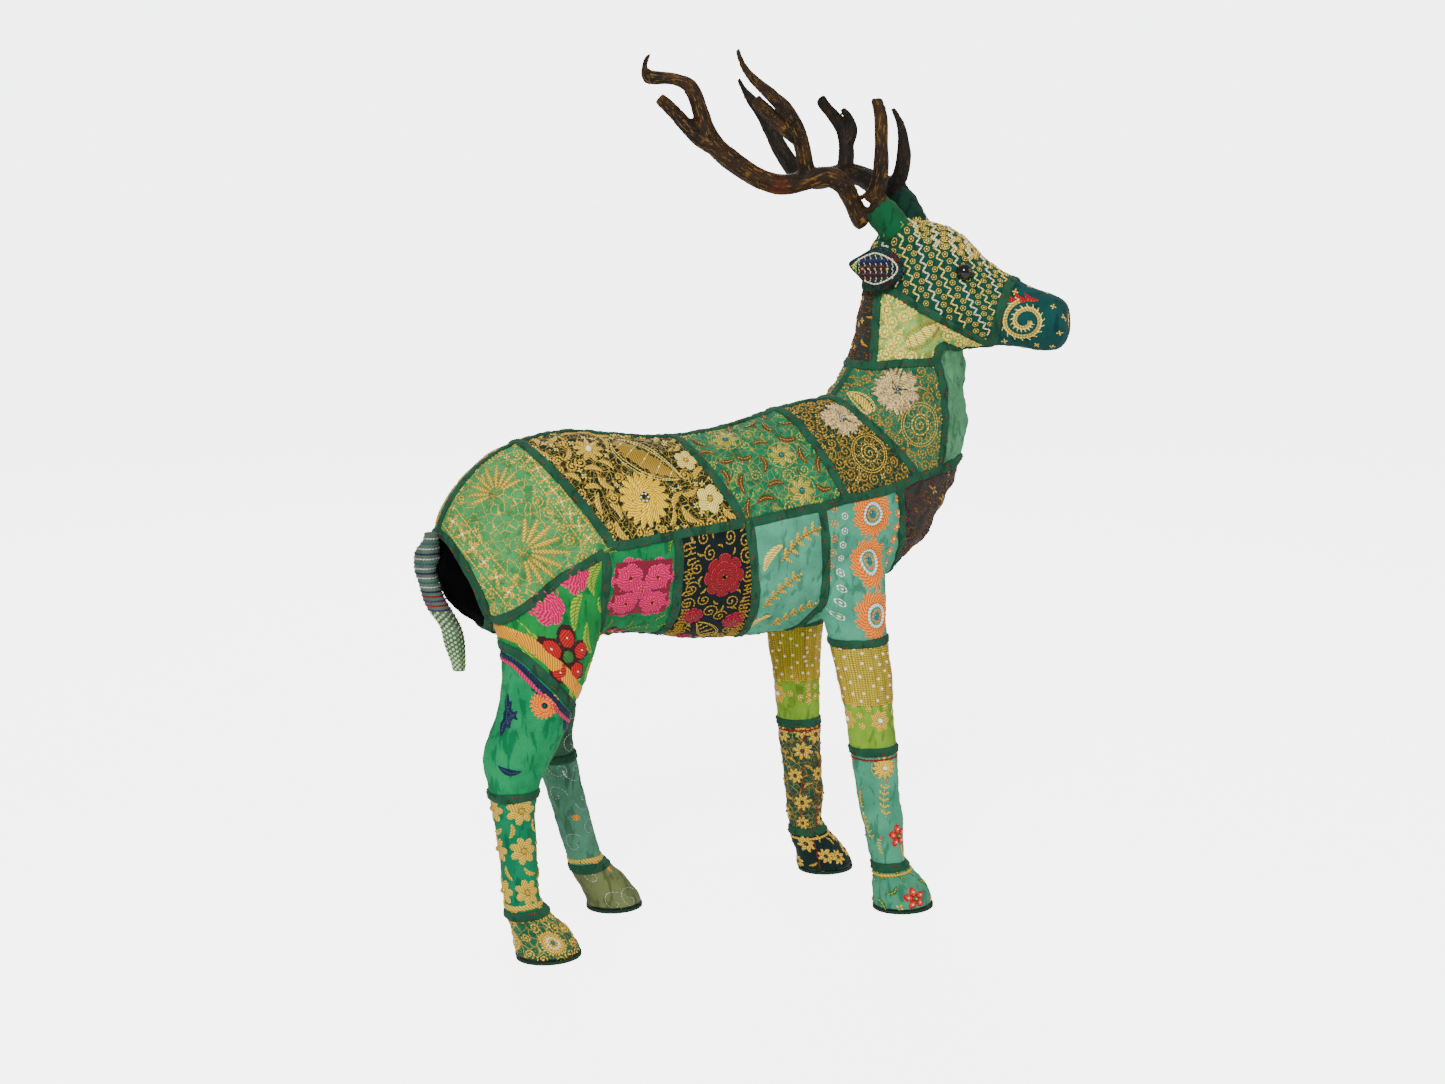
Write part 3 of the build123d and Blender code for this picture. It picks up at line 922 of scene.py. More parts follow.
def poppy(needle, spot, inside, outside):
    """Round petals with a thick dark outline, a pale dot on each and a green heart."""
    angles = turns(5, 0.4)
    petals(needle, spot, angles, 0.16, 1.05, 0.46, outside, 0.9, count=7)
    petals(needle, spot, angles, 0.32, 0.88, 0.28, inside, 0.8, 0.8, 6)
    for angle in angles:
        needle.bead(at_angle(0.62, angle), 1.1, CREAM, spot, flat=2.0)
    needle.bead((0, 0), 0.24 * spot[2], LEAF, spot, THREAD, 0.7)
    needle.bead((0, 0), 1.2, GOLD, spot, flat=3.0)


def leaf(needle, spot, tint, rib=None):
    t = np.linspace(0, 1, 9)
    path = np.stack([2 * t - 1, 0.35 * np.sin(math.pi * t)], axis=1)
    needle.blade(path, 0.34 * np.sin(math.pi * (0.04 + 0.92 * t)) ** 0.7, tint, spot, 1.1)
    if rib:
        needle.cord(path[1:-1], 0.35, rib, spot, lift=0.9)


def paisley(needle, spot, body, outline, dots):
    """A bent drop with two outlines and a row of dots."""
    t = np.linspace(0.08, 0.98, 14) * math.pi
    x = -np.cos(t)
    path = np.stack([x, 0.55 * ((x + 1) / 2) ** 2 - 0.15], axis=1)
    widths = 0.50 * np.sin(t) * np.cos(t / 2) ** 0.7 + 0.03
    if body:
        needle.blade(path, widths * 0.8, body, spot, 0.9)
    side = crosswise(path)
    for share in (-1.0, -1.22, 1.0, 1.22):
        needle.cord(path + side * (share * widths)[:, None], 0.55, outline, spot)
    for k in range(2, 11, 2):
        needle.bead(path[k], 0.9, dots, spot, flat=2.0)
        needle.cord(path[k] + side[k] * np.linspace(-0.8, 0.8, 5)[:, None] * widths[k], 0.35,
                    outline, spot, lift=0.8)


def scroll(needle, spot, tint, cord=0.6, coils=1.4):
    t = np.linspace(0, 1, 18)
    path = circle(0.95 * (1 - t) ** 0.8 + 0.12, TURN * coils * t)
    needle.cord(path, cord, tint, spot)
    needle.bead(path[-1], cord * 1.4, tint, spot)


def palmette(needle, spot, tint, pale):
    """Long outlined leaves spreading from a pair of curls."""
    widths = petal_widths(0.055, 8)
    for k in range(9):
        angle = math.pi * (0.08 + 0.84 * k / 8)
        path = petal_path(angle, 0.22, 1.0 - 0.22 * abs(k - 4) / 4, 8, 0.10 * (k - 4) / 4)
        needle.blade(path, widths, pale, spot, 0.7)
        side = at_angle(1.0, angle + math.pi / 2)
        for sign in (-1, 1):
            needle.cord(path + side * (sign * (widths + 0.012))[:, None], 0.35, tint, spot)
        needle.bead(path[-1] * 1.07, 0.9, tint, spot)
    t = np.linspace(0, 1, 14)
    for sign in (-1, 1):
        curl = circle(0.20 * (1 - 0.7 * t), 1.4 + 5.2 * t) * (sign, 1) + (0.20 * sign, 0.02)
        needle.cord(curl, 0.6, tint, spot)


def sunburst(needle, spot, rays=ORANGE, ring=WHITE, heart=TEAL):
    for k, angle in enumerate(turns(26)):
        path = petal_path(angle, 0.50, 1.0 - 0.12 * (k % 3 == 1), 4, 0.05)
        needle.blade(path, petal_widths(0.115, 4), rays, spot, 1.0)
    for radius, cord, tint in ((0.55, 1.3, rays), (0.42, 1.5, ring), (0.24, 0.9, rays)):
        needle.ring((0, 0), radius, cord, tint, spot, 20)
    needle.bead((0, 0), 0.15 * spot[2], heart, spot, flat=0.5)


def eyelet(needle, spot, ring, heart):
    needle.ring((0, 0), 1.0, 0.6, ring, spot, 10)
    needle.bead((0, 0), 0.36 * spot[2], heart, spot)


def floret(needle, spot, tint, heart):
    petals(needle, spot, turns(4), 0.15, 1.0, 0.3, tint, 0.8, count=4)
    needle.bead((0, 0), 0.22 * spot[2], heart, spot)


def sprig(needle, spot, stem, leaves, bloom, cord=0.5):
    t = np.linspace(0, 1, 12)
    path = np.stack([2 * t - 1, 0.3 * np.sin(2.4 * t)], axis=1)
    needle.cord(path, cord, stem, spot)
    for k in range(1, 11, 2):
        for sign in (-1, 1):
            tip = path[k] + (0.20, sign * 0.30)
            needle.blade(np.linspace(path[k], tip, 4), petal_widths(0.08, 4), leaves, spot, 0.8)
    needle.bead(path[-1], 1.5, bloom, spot)


def chrysanthemum(needle, spot, tint, heart):
    for count, inner, outer, lift in ((18, 0.45, 1.0, 0.0), (13, 0.2, 0.66, 0.9)):
        petals(needle, spot, turns(count, math.pi * lift / count), inner, outer, 0.16 * outer,
               tint, lift=lift, count=4)
    for angle in turns(6):
        needle.bead(at_angle(0.15, angle), 1.1, heart, spot, flat=2.0)


def rosette(needle, spot, loops, heart):
    """A fluffy flower of frayed cloth round a metal middle."""
    for _ in range(190):
        angle = random.uniform(0, TURN)
        inner = random.uniform(0.12, 0.66)
        outer = inner + random.uniform(0.25, 0.45)
        # each loop's tone differs at random; the darker loops also stand in for painted shade in the
        # gaps between loops
        tint = (*shade(loops[:3], random.uniform(0.45, 1.15)), 0.0)
        needle.blade(petal_path(angle, inner, outer, 5, random.uniform(-0.3, 0.3)),
                     petal_widths(0.06), tint, spot, 1.5, lift=2.4 * (1 - outer / 1.1))
    for k in range(7):
        needle.bead(at_angle(0.10, 0.9 * k) * (k > 0), 1.2, heart, spot, flat=3.4)


def medallion(needle, spot, tint, heart):
    """Rings of cord with curls between them."""
    for radius in (1.0, 0.88, 0.46):
        needle.ring((0, 0), radius, 0.6, tint, spot, 26)
    t = np.linspace(0, 1, 10)
    for angle in turns(8):
        curl = at_angle(0.66, angle) + circle(0.17 * (1 - 0.6 * t), angle + 5.5 * t)
        needle.cord(curl, 0.45, tint, spot)
        needle.bead(at_angle(0.46, angle + 0.39), 1.0, heart, spot)
    scroll(needle, (spot[0], spot[1], spot[2] * 0.36, spot[3]), tint, 0.7)


def pearl(needle, spot, tint, radius):
    """A bead; its colour is drawn from a set of one."""
    needle.bead((0, 0), radius, random.choice((tint,)), spot)


# --- filling a patch with motifs: each of these makes one step of a recipe --------------------------
SCATTER_TRIES = 2200
STITCH_RUN = 1.5           # millimetres between the points of a row


def scatter(chart, gap, margin, taken, zone):
    """Spots at least a gap from each other and from the taken circles, inside the patch."""
    own = np.argwhere(chart.own)
    bottom, top = chart.band(zone)
    found = []
    for _ in range(SCATTER_TRIES):
        i, j = own[random.randrange(len(own))]
        u = chart.low[0] + (i + random.random()) * CELL / MM
        v = chart.low[1] + (j + random.random()) * CELL / MM
        if not bottom <= v <= top or chart.room(u, v) < margin:
            continue
        if all((u - x) ** 2 + (v - y) ** 2 > (gap / 2 + r) ** 2 for x, y, r in taken):
            taken.append((u, v, gap / 2))
            found.append((u, v))
    return found


def spray(gap, size, motif, turn=None, zone=(0.0, 1.0), apart=False):
    """A motif at scattered spots; one that stands apart pays no heed to the others."""
    draw, *settings = motif

    def step(needle, taken):
        for u, v in scatter(needle.chart, gap, size * 0.9, [] if apart else taken, zone):
            angle = random.uniform(0, TURN) if turn is None else turn
            draw(needle, (u, v, size * random.uniform(0.85, 1.15), angle), *settings)
    return step


def hero(share_u, share_v, size, motif, turn=0.0):
    """One large motif at a place given as shares of the patch."""
    draw, *settings = motif

    def step(needle, taken):
        u, v = needle.chart.place_of(share_u, share_v)
        draw(needle, (u, v, size, turn), *settings)
        taken.append((u, v, size * 0.95))
    return step


def border(start, end, wide):
    """A straight braid of small flowers between two cords."""
    def step(needle, taken):
        first, last = needle.chart.place_of(*start), needle.chart.place_of(*end)
        length = np.linalg.norm(last - first)
        ahead = (last - first) / length
        side = np.array([-ahead[1], ahead[0]])
        for reach in np.arange(wide / 2, length, wide * 0.9):
            at = first + ahead * reach
            if needle.chart.room(*at) < wide * 0.3:
                continue
            floret(needle, (*at, wide * 0.42, random.uniform(0, 1)), GOLD, CREAM)
            for sign in (-1, 1):
                cord = np.linspace(-0.45, 0.45, 6)[:, None] * wide
                needle.cord(at + ahead * cord + side * sign * wide / 2, 0.7, GOLD)
                needle.bead(at + ahead * wide * 0.45 + side * sign * wide * 0.28, 1.0, GOLD)
            taken.append((*at, wide * 0.55))
    return step


def rows(direction, pitch, draw_row, margin=2.0, zone=(0.0, 1.0)):
    """Parallel lines across a patch: draw_row gets the map points of every run."""
    along = np.array([math.cos(direction), math.sin(direction)])
    across = np.array([-along[1], along[0]])

    def step(needle, taken):
        chart = needle.chart
        bottom, top = chart.band(zone)
        a, c = chart.spots @ along, chart.spots @ across
        for number, level in enumerate(np.arange(c.min() + pitch / 2, c.max(), pitch)):
            run = []
            for reach in np.arange(a.min(), a.max() + STITCH_RUN, STITCH_RUN):
                point = along * reach + across * level
                inside = bottom <= point[1] <= top and chart.room(*point) >= margin
                if inside:
                    run.append(point)
                if run and (not inside or reach + STITCH_RUN > a.max()):
                    if len(run) > 4:
                        draw_row(needle, np.array(run), across, number)
                    run = []
    return step


def zigzag(tint, cord, tall, pitch):
    def draw_row(needle, run, across, _):
        wave = tall * (2 * np.abs((np.arange(len(run)) * STITCH_RUN / pitch) % 1 - 0.5) - 0.5)
        needle.cord(run + across * wave[:, None], cord, tint)
    return draw_row


# --- steps that belong to one patch -------------------------------------------------------------
def rose_square(needle, taken):
    """A square of rose petals with a leaf on it."""
    middle = needle.chart.place_of(0.5, 0.66)
    backing = np.stack([np.zeros(25), np.linspace(-29, 29, 25)], axis=1) + middle
    needle.blade(backing, 30.0, DEEP_PINK, height=0.3, across=np.linspace(-1, 1, 25), lift=0.7)
    for u, v, size in ((-14, 14, 19), (15, 13, 18), (-15, -14, 18), (14, -15, 19), (0, 0, 14)):
        rose(needle, (middle[0] + u, middle[1] + v, size, u * 0.1), PINK, LIGHT_PINK)
    taken.append((*middle, 40))
    leaf(needle, (middle[0] + 2, middle[1] - 2, 8, 0.5), LEAF, LIME)


def braids(needle, taken):
    """An upright braid near either edge."""
    for share in (0.16, 0.86):
        low, high = needle.chart.place_of(share, 0.05), needle.chart.place_of(share, 0.95)
        for at in np.linspace(low, high, 30):
            needle.cord(at + np.linspace(-4, 4, 4)[:, None] * (1, 0.15), 0.8, ANTIQUE)


def chain_or_eyelets(needle, run, across, number):
    """Zigzags in two colours with rows of eyelets between them."""
    if number % 2:
        zigzag(CREAM if number % 4 == 1 else PALE_GOLD, 1.0, 5.6, 10.0)(needle, run, across, number)
        return
    for k in range(3, len(run) - 2, 5):
        at = run[k] + across * 1.6 * (-1) ** (k // 5)
        eyelet(needle, (*at, 2.6, 0), GOLD, PALE_GOLD)


def coiled_ropes(needle, taken):
    """A feathery rope coiled on either side of the muzzle, with petals behind."""
    t = np.linspace(0, 1, 60)
    turn = TURN * 1.7 * t + 0.6
    for u in (0.0, math.pi * needle.chart.radius / MM):
        for shift, tint in ((0.0, PALE_GOLD), (2.4, GOLD)):
            needle.cord(circle(23 - 17 * t - shift, turn) + (u, 2), 1.2, tint)
        for k in range(0, 58, 2):
            foot = at_angle(23 - 17 * t[k], turn[k])
            tip = at_angle(26.5 - 17 * t[k], turn[k] + 0.15)
            needle.cord(np.stack([foot, (foot + tip) / 2, tip]) + (u, 2), 0.75, PALE_GOLD)
        taken.append((u, 2, 24))
        for k in (-1, 0, 1):
            leaf(needle, (u + 22 + 3 * k, 14 - 9 * k, 8, 1.4), RED, CRIMSON)


def hem(needle):
    """The dark strip round the foot of a hoof."""
    first, last = needle.chart.place_of(0, 0.07), needle.chart.place_of(1, 0.07)
    needle.blade(np.linspace(first, last, 60), 2.4, HEM, height=0.5, lift=0.6)


# --- recipes: for each patch its cloth, how far it is crumpled and its embroidery ------------------
FAN = (palmette, ANTIQUE, GOLD)
BACK_DAISY = (daisy, GREEN_GOLD, TEAL, 8, 1.1, GOLD)
LOIN_DAISY = (daisy, PALE_GOLD, ANTIQUE, 5, 1.3)
PINK_ROSE = (rose, PINK, LIGHT_PINK)
DARK_ROSE = (rose, CRIMSON, PINK)
RED_POPPY = (poppy, RED, MAROON)
CORAL_POPPY = (poppy, CORAL, RED)
LIME_LEAF = (leaf, LIME, LEAF)
NAVY_LEAF = (leaf, NAVY, TEAL)
CORAL_SPRIG = (sprig, GOLD, GOLD, CORAL)
GREAT_ROSETTE = (rosette, PEACH, SILVER)
FAR_LEG = (spray(30, 11, (scroll, SILVER, 0.45, 1.0)), spray(26, 4, (daisy, ORANGE, YELLOW, 7)))
FAR_FORE_LEG = (rows(1.45, 34, zigzag(CRIMSON, 0.7, 1.0, 9.0)),
                spray(20, 9, (daisy, GOLD, MAROON, 8)), spray(12, 6, (leaf, ANTIQUE, GOLD)))
RECIPES = {
    "rump": (
        brocade("rump", linear(72, 154, 98), GOLD[:3], 8 * MM, 0.05), 0.7,
        border((0.06, 0.56), (0.52, 0.06), 19), border((0.50, 0.92), (0.92, 0.42), 15),
        hero(0.36, 0.66, 34, FAN, 0.5), hero(0.52, 0.36, 40, FAN, -1.5),
        spray(11, 6, (scroll, GOLD, 0.7)), spray(7, 3, (floret, GOLD, CREAM))),
    "loin": (
        brocade("loin", linear(16, 52, 34), GOLD[:3], 7 * MM, 0.12), 0.7,
        hero(0.56, 0.62, 36, (paisley, ANTIQUE, PALE_GOLD, WHITE), -1.0),
        hero(0.50, 0.30, 26, (chrysanthemum, (*YELLOW[:3], 0.35), WHITE)),
        hero(0.85, 0.26, 14, LOIN_DAISY), hero(0.78, 0.60, 12, LOIN_DAISY),
        hero(0.28, 0.74, 15, (daisy, GOLD, CREAM, 9)),
        spray(15, 9, (leaf, GOLD, ANTIQUE)), spray(10, 5, (scroll, GOLD, 0.9)),
        spray(6, 3, (floret, PALE_GOLD, GOLD))),
    "back": (
        brocade("back", linear(16, 128, 92), linear(176, 166, 84), 8 * MM, 0.07), 0.8,
        hero(0.30, 0.68, 13, BACK_DAISY), hero(0.62, 0.50, 13, BACK_DAISY),
        hero(0.72, 0.22, 13, BACK_DAISY), spray(18, 10, (leaf, BRONZE, GREEN_GOLD)),
        spray(12, 6, (scroll, GREEN_GOLD, 0.7)), spray(7, 3.4, (leaf, LIME))),
    "withers": (
        brocade("withers", linear(18, 74, 58), ANTIQUE[:3], 6 * MM, 0.07), 0.7,
        hero(0.42, 0.70, 22, GREAT_ROSETTE), hero(0.58, 0.36, 20, (medallion, GOLD, PALE_GOLD)),
        spray(11, 6, (scroll, ANTIQUE, 0.8)), spray(6.5, 3, (floret, GOLD, BRONZE))),
    "velvet": (velvet("velvet", linear(2, 9, 7)), 1.0),
    "haunch": (
        cotton("haunch", linear(26, 138, 74)), 0.7,
        hero(0.17, 0.68, 18, PINK_ROSE), hero(0.42, 0.86, 17, PINK_ROSE),
        hero(0.34, 0.42, 25, RED_POPPY),
        *[hero(u, v, size, LIME_LEAF, turn) for u, v, size, turn in (
            (0.44, 0.66, 15, 1.2), (0.62, 0.86, 17, 1.4), (0.44, 0.20, 15, 1.2),
            (0.04, 0.52, 13, 2.6), (0.55, 0.52, 15, 1.9), (0.62, 0.30, 14, 1.3))],
        spray(15, 8, LIME_LEAF)),
    "rose_flank": (
        cotton("rose_flank", linear(30, 134, 84)), 0.5,
        rose_square, hero(0.30, 0.14, 18, RED_POPPY), spray(14, 8, (leaf, LEAF, LIME))),
    "navy_flank": (
        cotton("navy_flank", linear(16, 42, 44)), 0.6, braids,
        hero(0.56, 0.72, 21, DARK_ROSE), hero(0.26, 0.42, 11, DARK_ROSE),
        hero(0.78, 0.34, 12, DARK_ROSE), hero(0.50, 0.24, 19, (paisley, None, GOLD, ANTIQUE), 1.9),
        hero(0.30, 0.10, 10, DARK_ROSE), spray(13, 7, (scroll, ANTIQUE, 0.8)),
        spray(8, 4, (leaf, ANTIQUE))),
    "mint_flank": (
        cotton("mint_flank", linear(92, 162, 136)), 1.3,
        *[hero(u, v, 25, (sprig, ANTIQUE, GOLD, GOLD, 1.3), turn)
          for u, v, turn in ((0.62, 0.80, 0.5), (0.46, 0.50, 0.7), (0.70, 0.28, 0.5))],
        *[hero(0.28, v, 15, (leaf, PALE_GOLD, ANTIQUE), 0.9) for v in (0.74, 0.24)]),
    "shoulder": (
        cotton("shoulder", linear(88, 160, 134)), 1.0,
        *[hero(0.42, v, 24, (sunburst,)) for v in (0.86, 0.60, 0.34)],
        *[hero(u, v - 0.078 * k, size, motif) for k in range(9) for u, v, size, motif in (
            (0.09, 0.95, 3.4, (eyelet, ORANGE, ORANGE)), (0.17, 0.92, 3.0, (eyelet, WHITE, CREAM)),
            (0.68, 0.94, 5.0, (daisy, ORANGE, WHITE, 5)))]),
    "neck": (
        brocade("neck", linear(34, 118, 92), ANTIQUE[:3], 7 * MM, 0.06), 0.9,
        hero(0.52, 0.74, 25, GREAT_ROSETTE), hero(0.72, 0.44, 22, (medallion, GOLD, PALE_GOLD)),
        hero(0.22, 0.66, 15, (paisley, GOLD, PALE_GOLD, CREAM), 1.9),
        border((0.02, 0.46), (0.66, 0.02), 10),
        spray(12, 6, (scroll, ANTIQUE, 0.8)), spray(7, 3.5, (leaf, GOLD, BRONZE))),
    "chest": (
        brocade("chest", linear(64, 66, 56), linear(96, 58, 66), 9 * MM, 0.25), 2.2,
        hero(0.35, 0.62, 15, (leaf, CORAL, GOLD), 0.7),
        hero(0.66, 0.58, 14, (leaf, CORAL, GOLD), 2.2),
        spray(16, 8, (scroll, BRONZE, 0.8)), spray(9, 4, (floret, ANTIQUE, MAROON))),
    "throat": (
        cotton("throat", linear(96, 150, 114)), 2.6,
        hero(0.5, 0.30, 15, (leaf, CORAL, ORANGE), 1.2), spray(40, 8, (sprig, LEAF, LEAF, CORAL))),
    "nape": (
        brocade("nape", linear(66, 66, 44), linear(56, 80, 92), 8 * MM, 0.25), 0.9,
        spray(15, 8, (scroll, BRONZE, 0.9)), spray(9, 5, (leaf, ANTIQUE, ORANGE)),
        spray(6, 3, (floret, GOLD, ORANGE))),
    "forearm": (       # dense gold with pearls above, plain lime with flowers below
        cotton("forearm", linear(132, 166, 62)), 0.7,
        rows(0.0, 2.4, zigzag(GOLD, 1.0, 1.6, 3.6), 1.0, (0.42, 1.0)),
        spray(8.5, 2, (pearl, CREAM, 2.0), zone=(0.46, 1.0), apart=True),
        *[hero(u, 0.28, 12, (daisy, GOLD, WHITE, 7, 1.2)) for u in (0.25, 0.5, 0.75)],
        spray(10, 4, (daisy, GOLD, WHITE, 6), zone=(0.2, 0.44))),
    "fore_shin": (
        cotton("fore_shin", linear(84, 156, 128)), 0.9,
        hero(0.5, 0.88, 12, (daisy, (*YELLOW[:3], 0.3), CREAM, 12, 1.2, GOLD)),
        hero(0.5, 0.60, 19, CORAL_SPRIG, 1.3), hero(0.56, 0.28, 12, CORAL_POPPY),
        hero(0.30, 0.36, 14, (sprig, GOLD, GOLD, GOLD), 1.7), spray(20, 9, CORAL_SPRIG, turn=1.4)),
    "fore_hoof": (
        cotton("fore_hoof", linear(82, 150, 122)), 1.3,
        hero(0.50, 0.34, 11, CORAL_POPPY), spray(18, 8, (leaf, LEAF, GOLD)),
        spray(12, 4, (floret, GOLD, CORAL))),
    "gaskin": (
        cotton("gaskin", linear(30, 144, 96)), 1.0,
        hero(0.51, 0.62, 14, (chrysanthemum, ORANGE, NAVY)),
        hero(0.50, 0.73, 6, (daisy, NAVY, TEAL, 8, 1.2, NAVY)),
        *[hero(0.34, v, 13, NAVY_LEAF, turn) for v, turn in ((0.50, 1.2), (0.56, 1.6), (0.61, 2.0))],
        spray(55, 12, NAVY_LEAF)),
    "hind_shin": (
        cotton("hind_shin", linear(14, 128, 92)), 0.7,
        *[hero(u, v, 14, (daisy, GOLD, ANTIQUE, 7, 1.2))
          for v in (0.20, 0.56, 0.90) for u in (0.24, 0.5, 0.76)],
        spray(13, 8, (leaf, GOLD, ANTIQUE))),
    "hind_hoof": (
        brocade("hind_hoof", linear(16, 112, 84), GOLD[:3], 8 * MM, 0.08), 1.2,
        *[hero(u, 0.42, 13, (sunburst, GOLD, CREAM, TEAL)) for u in (0.22, 0.5, 0.78)],
        spray(11, 5, (scroll, GOLD, 0.8))),
    "cheek": (
        brocade("cheek", linear(140, 188, 112), YELLOW[:3], 6 * MM, 0.1), 0.4,
        hero(0.42, 0.40, 20, (paisley, STRAW, ANTIQUE, LEAF), 0.3),
        spray(10, 6, (scroll, STRAW, 1.3)), spray(6, 3.4, (leaf, STRAW))),
    "crown": (
        cotton("crown", linear(10, 84, 70), 0.75, 0.3), 0.3,
        rows(0.65, 8.2, chain_or_eyelets, 3.0)),
    "muzzle": (
        cotton("muzzle", linear(12, 84, 82), 0.7, 0.3), 0.3,
        coiled_ropes, spray(13, 3.2, (floret, GOLD, CREAM))),
    "gaskin_left": (cotton("far_gaskin", linear(72, 110, 88)), 1.0, *FAR_LEG),
    "hind_shin_left": (cotton("far_hind_shin", linear(92, 140, 116)), 0.9, *FAR_LEG),
    "hind_hoof_left": (cotton("far_hind_hoof", linear(116, 124, 84)), 1.2, *FAR_LEG),
    "fore_shin_left": (
        brocade("far_fore_shin", linear(34, 88, 74), ANTIQUE[:3], 8 * MM, 0.12), 0.8, *FAR_FORE_LEG),
    "fore_hoof_left": (cotton("far_fore_hoof", linear(24, 56, 54)), 1.3, *FAR_FORE_LEG),
}
thread = tinted("thread", 0.5, True, 0.25)
bead = tinted("bead", 0.22, False, 0.5)


def recipe_of(patch):
    name = patch.replace("_patch", "")
    return RECIPES.get(name) or RECIPES[name.replace("_right", "").replace("_left", "")]


# --- wrinkles, pressed into the skin so that cloth and stitches follow them -------------------------
def wrinkle_skin():
    amount, share = np.zeros((2, len(skin_points)))
    for face, label in zip(skin_faces, face_label):
        amount[list(face)] += recipe_of(PATCHES[label])[1]
        share[list(face)] += 1
    amount /= np.maximum(share, 1)
    rise = grain(skin_points, 58) + 0.5 * grain(skin_points, 125)
    skin_points[:] = skin_points + skin_normals * (rise * amount * WRINKLE)[:, None]
    move_points(skin.data, skin_points)
    skin_normals[:] = mesh_normals(skin.data)
    face_middles[:] = middles_of_faces()
    return tree_of(skin_points, skin_faces)


skin_tree = wrinkle_skin()


# --- the patches --------------------------------------------------------------------------------
def add_sheet(chart, pile):
    """The patch's own cloth: its share of the skin, lifted a little."""
    corners = np.array([skin_faces[i] for i in chart.faces])
    flat = chart.flatten(skin_points[corners.ravel()]).reshape(-1, 4, 2)
    if chart.round:
        turn = TURN * chart.radius / MM
        flat[:, :, 0] -= turn * np.round((flat[:, :, 0] - flat[:, :1, 0]) / turn)
    made, points, uv = {}, [], []
    for vertex, place in zip(corners.ravel(), flat.reshape(-1, 2)):
        key = (vertex, round(place[0], 1))
        if key not in made:
            made[key] = len(points)
            points.append(skin_points[vertex] + skin_normals[vertex] * SHEET_LIFT)
            uv.append(place * MM)
    quads = [[made[vertex, round(place[0], 1)] for vertex, place in zip(face, places)]
             for face, places in zip(corners, flat)]
    pile.add(points, quads, CLOTH, uv, NO_TINT)


def sideways(points, normals):
    return unit(np.cross(normals, np.gradient(points, axis=0)))


def tube(pile, points, normals, radius, tint):
    """A cord laid along points in space, half sunk in the cloth."""
    side = sideways(points, normals)
    grid = np.stack([points + side * math.cos(a) * radius + normals * (math.sin(a) * radius)
                     for a in np.linspace(-0.2, math.pi + 0.2, 6)], axis=1)
    uv = np.stack([np.repeat(travelled(points), 6), np.tile(np.arange(6) * radius * 0.6,
                                                            len(points))], axis=1)
    pile.add(grid.reshape(-1, 3), grid_quads(len(points), 6), THREAD, uv, tint)


def laid(points):
    """Points put back on the skin, with the skin's directions."""
    spots = [on_skin(p) for p in points]
    return np.array([s[0] for s in spots]), np.array([s[1] for s in spots])


def ribbon(pile, points, across, rise, material, tint=NO_TINT):
    """A strip along points, following the skin; across and rise give its section."""
    points, normals = laid(points)
    side = sideways(points, normals)
    swell = 1 + 0.16 * grain(points, 70)
    edge = points[:, None] + side[:, None] * (swell[:, None] * across)[..., None]
    based, tilt = laid(edge.reshape(-1, 3))
    lifted = SHEET_LIFT + np.tile(rise, len(points)) * (1 + 0.5 * grain(based, 230))
    uv = np.stack([np.repeat(travelled(points), len(across)), np.tile(across, len(points))],
                  axis=1)
    pile.add(based + tilt * lifted[:, None], grid_quads(len(points), len(across)), material, uv,
             tint)


piles = {patch: Pile() for patch in PATCHES}
for number, patch in enumerate(PATCHES):
    chart = Chart(patch)
    add_sheet(chart, piles[patch])
    random.seed(31 * number + 7)
    needle, taken = Needle(chart, piles[patch]), []
    for step in recipe_of(patch)[2:]:
        step(needle, taken)
    if "hoof" in patch:
        hem(needle)


# --- binding tape over the seams --------------------------------------------------------------------
tape = Pile()
TAPE_ACROSS = TAPE_WIDTH * np.array([-0.5, -0.49, -0.40, -0.2, 0.0, 0.2, 0.40, 0.49, 0.5])
TAPE_RISE = TAPE_HEIGHT * np.array([-0.5, 0.35, 0.82, 1.0, 0.94, 1.0, 0.82, 0.35, -0.5])
STITCH_STEP = 9             # points of tape between two stitches
for _, run in seams:
    ribbon(tape, run, TAPE_ACROSS, TAPE_RISE, CLOTH)
    points, normals = laid(run)
    side = sideways(points, normals)
    for k in range(3, len(points) - 4, STITCH_STEP):
        shift = side[k:k + 3] * (0.22 * TAPE_WIDTH * (-1) ** (k // STITCH_STEP))
        tube(tape, points[k:k + 3] + shift + normals[k:k + 3] * (TAPE_HEIGHT + 0.6 * MM),
             normals[k:k + 3], 0.5 * MM, STITCH)


# --- ribbons beside some seams ----------------------------------------------------------------------
FLAT_ACROSS = np.linspace(-0.5, 0.5, 7)
FLAT_RISE = np.array([-0.6, 0.9, 1.1, 1.1, 1.1, 0.9, -0.6]) * MM
SIDE_PROBE = 12 * MM        # how far off a seam its two patches are told apart
# patch it lies on, patch across the seam, distance from the seam and width in mm, colour
RIBBONS = [
    ("haunch", "gaskin", 15, 15, dye(232, 168, 30, 0.2)),
    ("gaskin", "haunch", 9, 6, NAVY), ("gaskin", "haunch", 14, 4, PINK),
    ("fore_shin", "forearm", 8, 2.4, CRIMSON), ("hind_shin", "hind_hoof", 9, 6, GOLD),
    ("fore_hoof", "fore_shin", 8, 3, GOLD),
]


def lay_ribbon(here, run, away, width, tint):
    points, normals = laid(run)
    side = sideways(points, normals)
    k = len(points) // 2
    probe = Vector(points[k] + side[k] * SIDE_PROBE)
    sign = 1 if face_label[skin_tree.find_nearest(probe)[2]] == here else -1
    ribbon(piles[PATCHES[here]], points + side * sign * away * MM, FLAT_ACROSS * width * MM,
           FLAT_RISE, THREAD, tint)


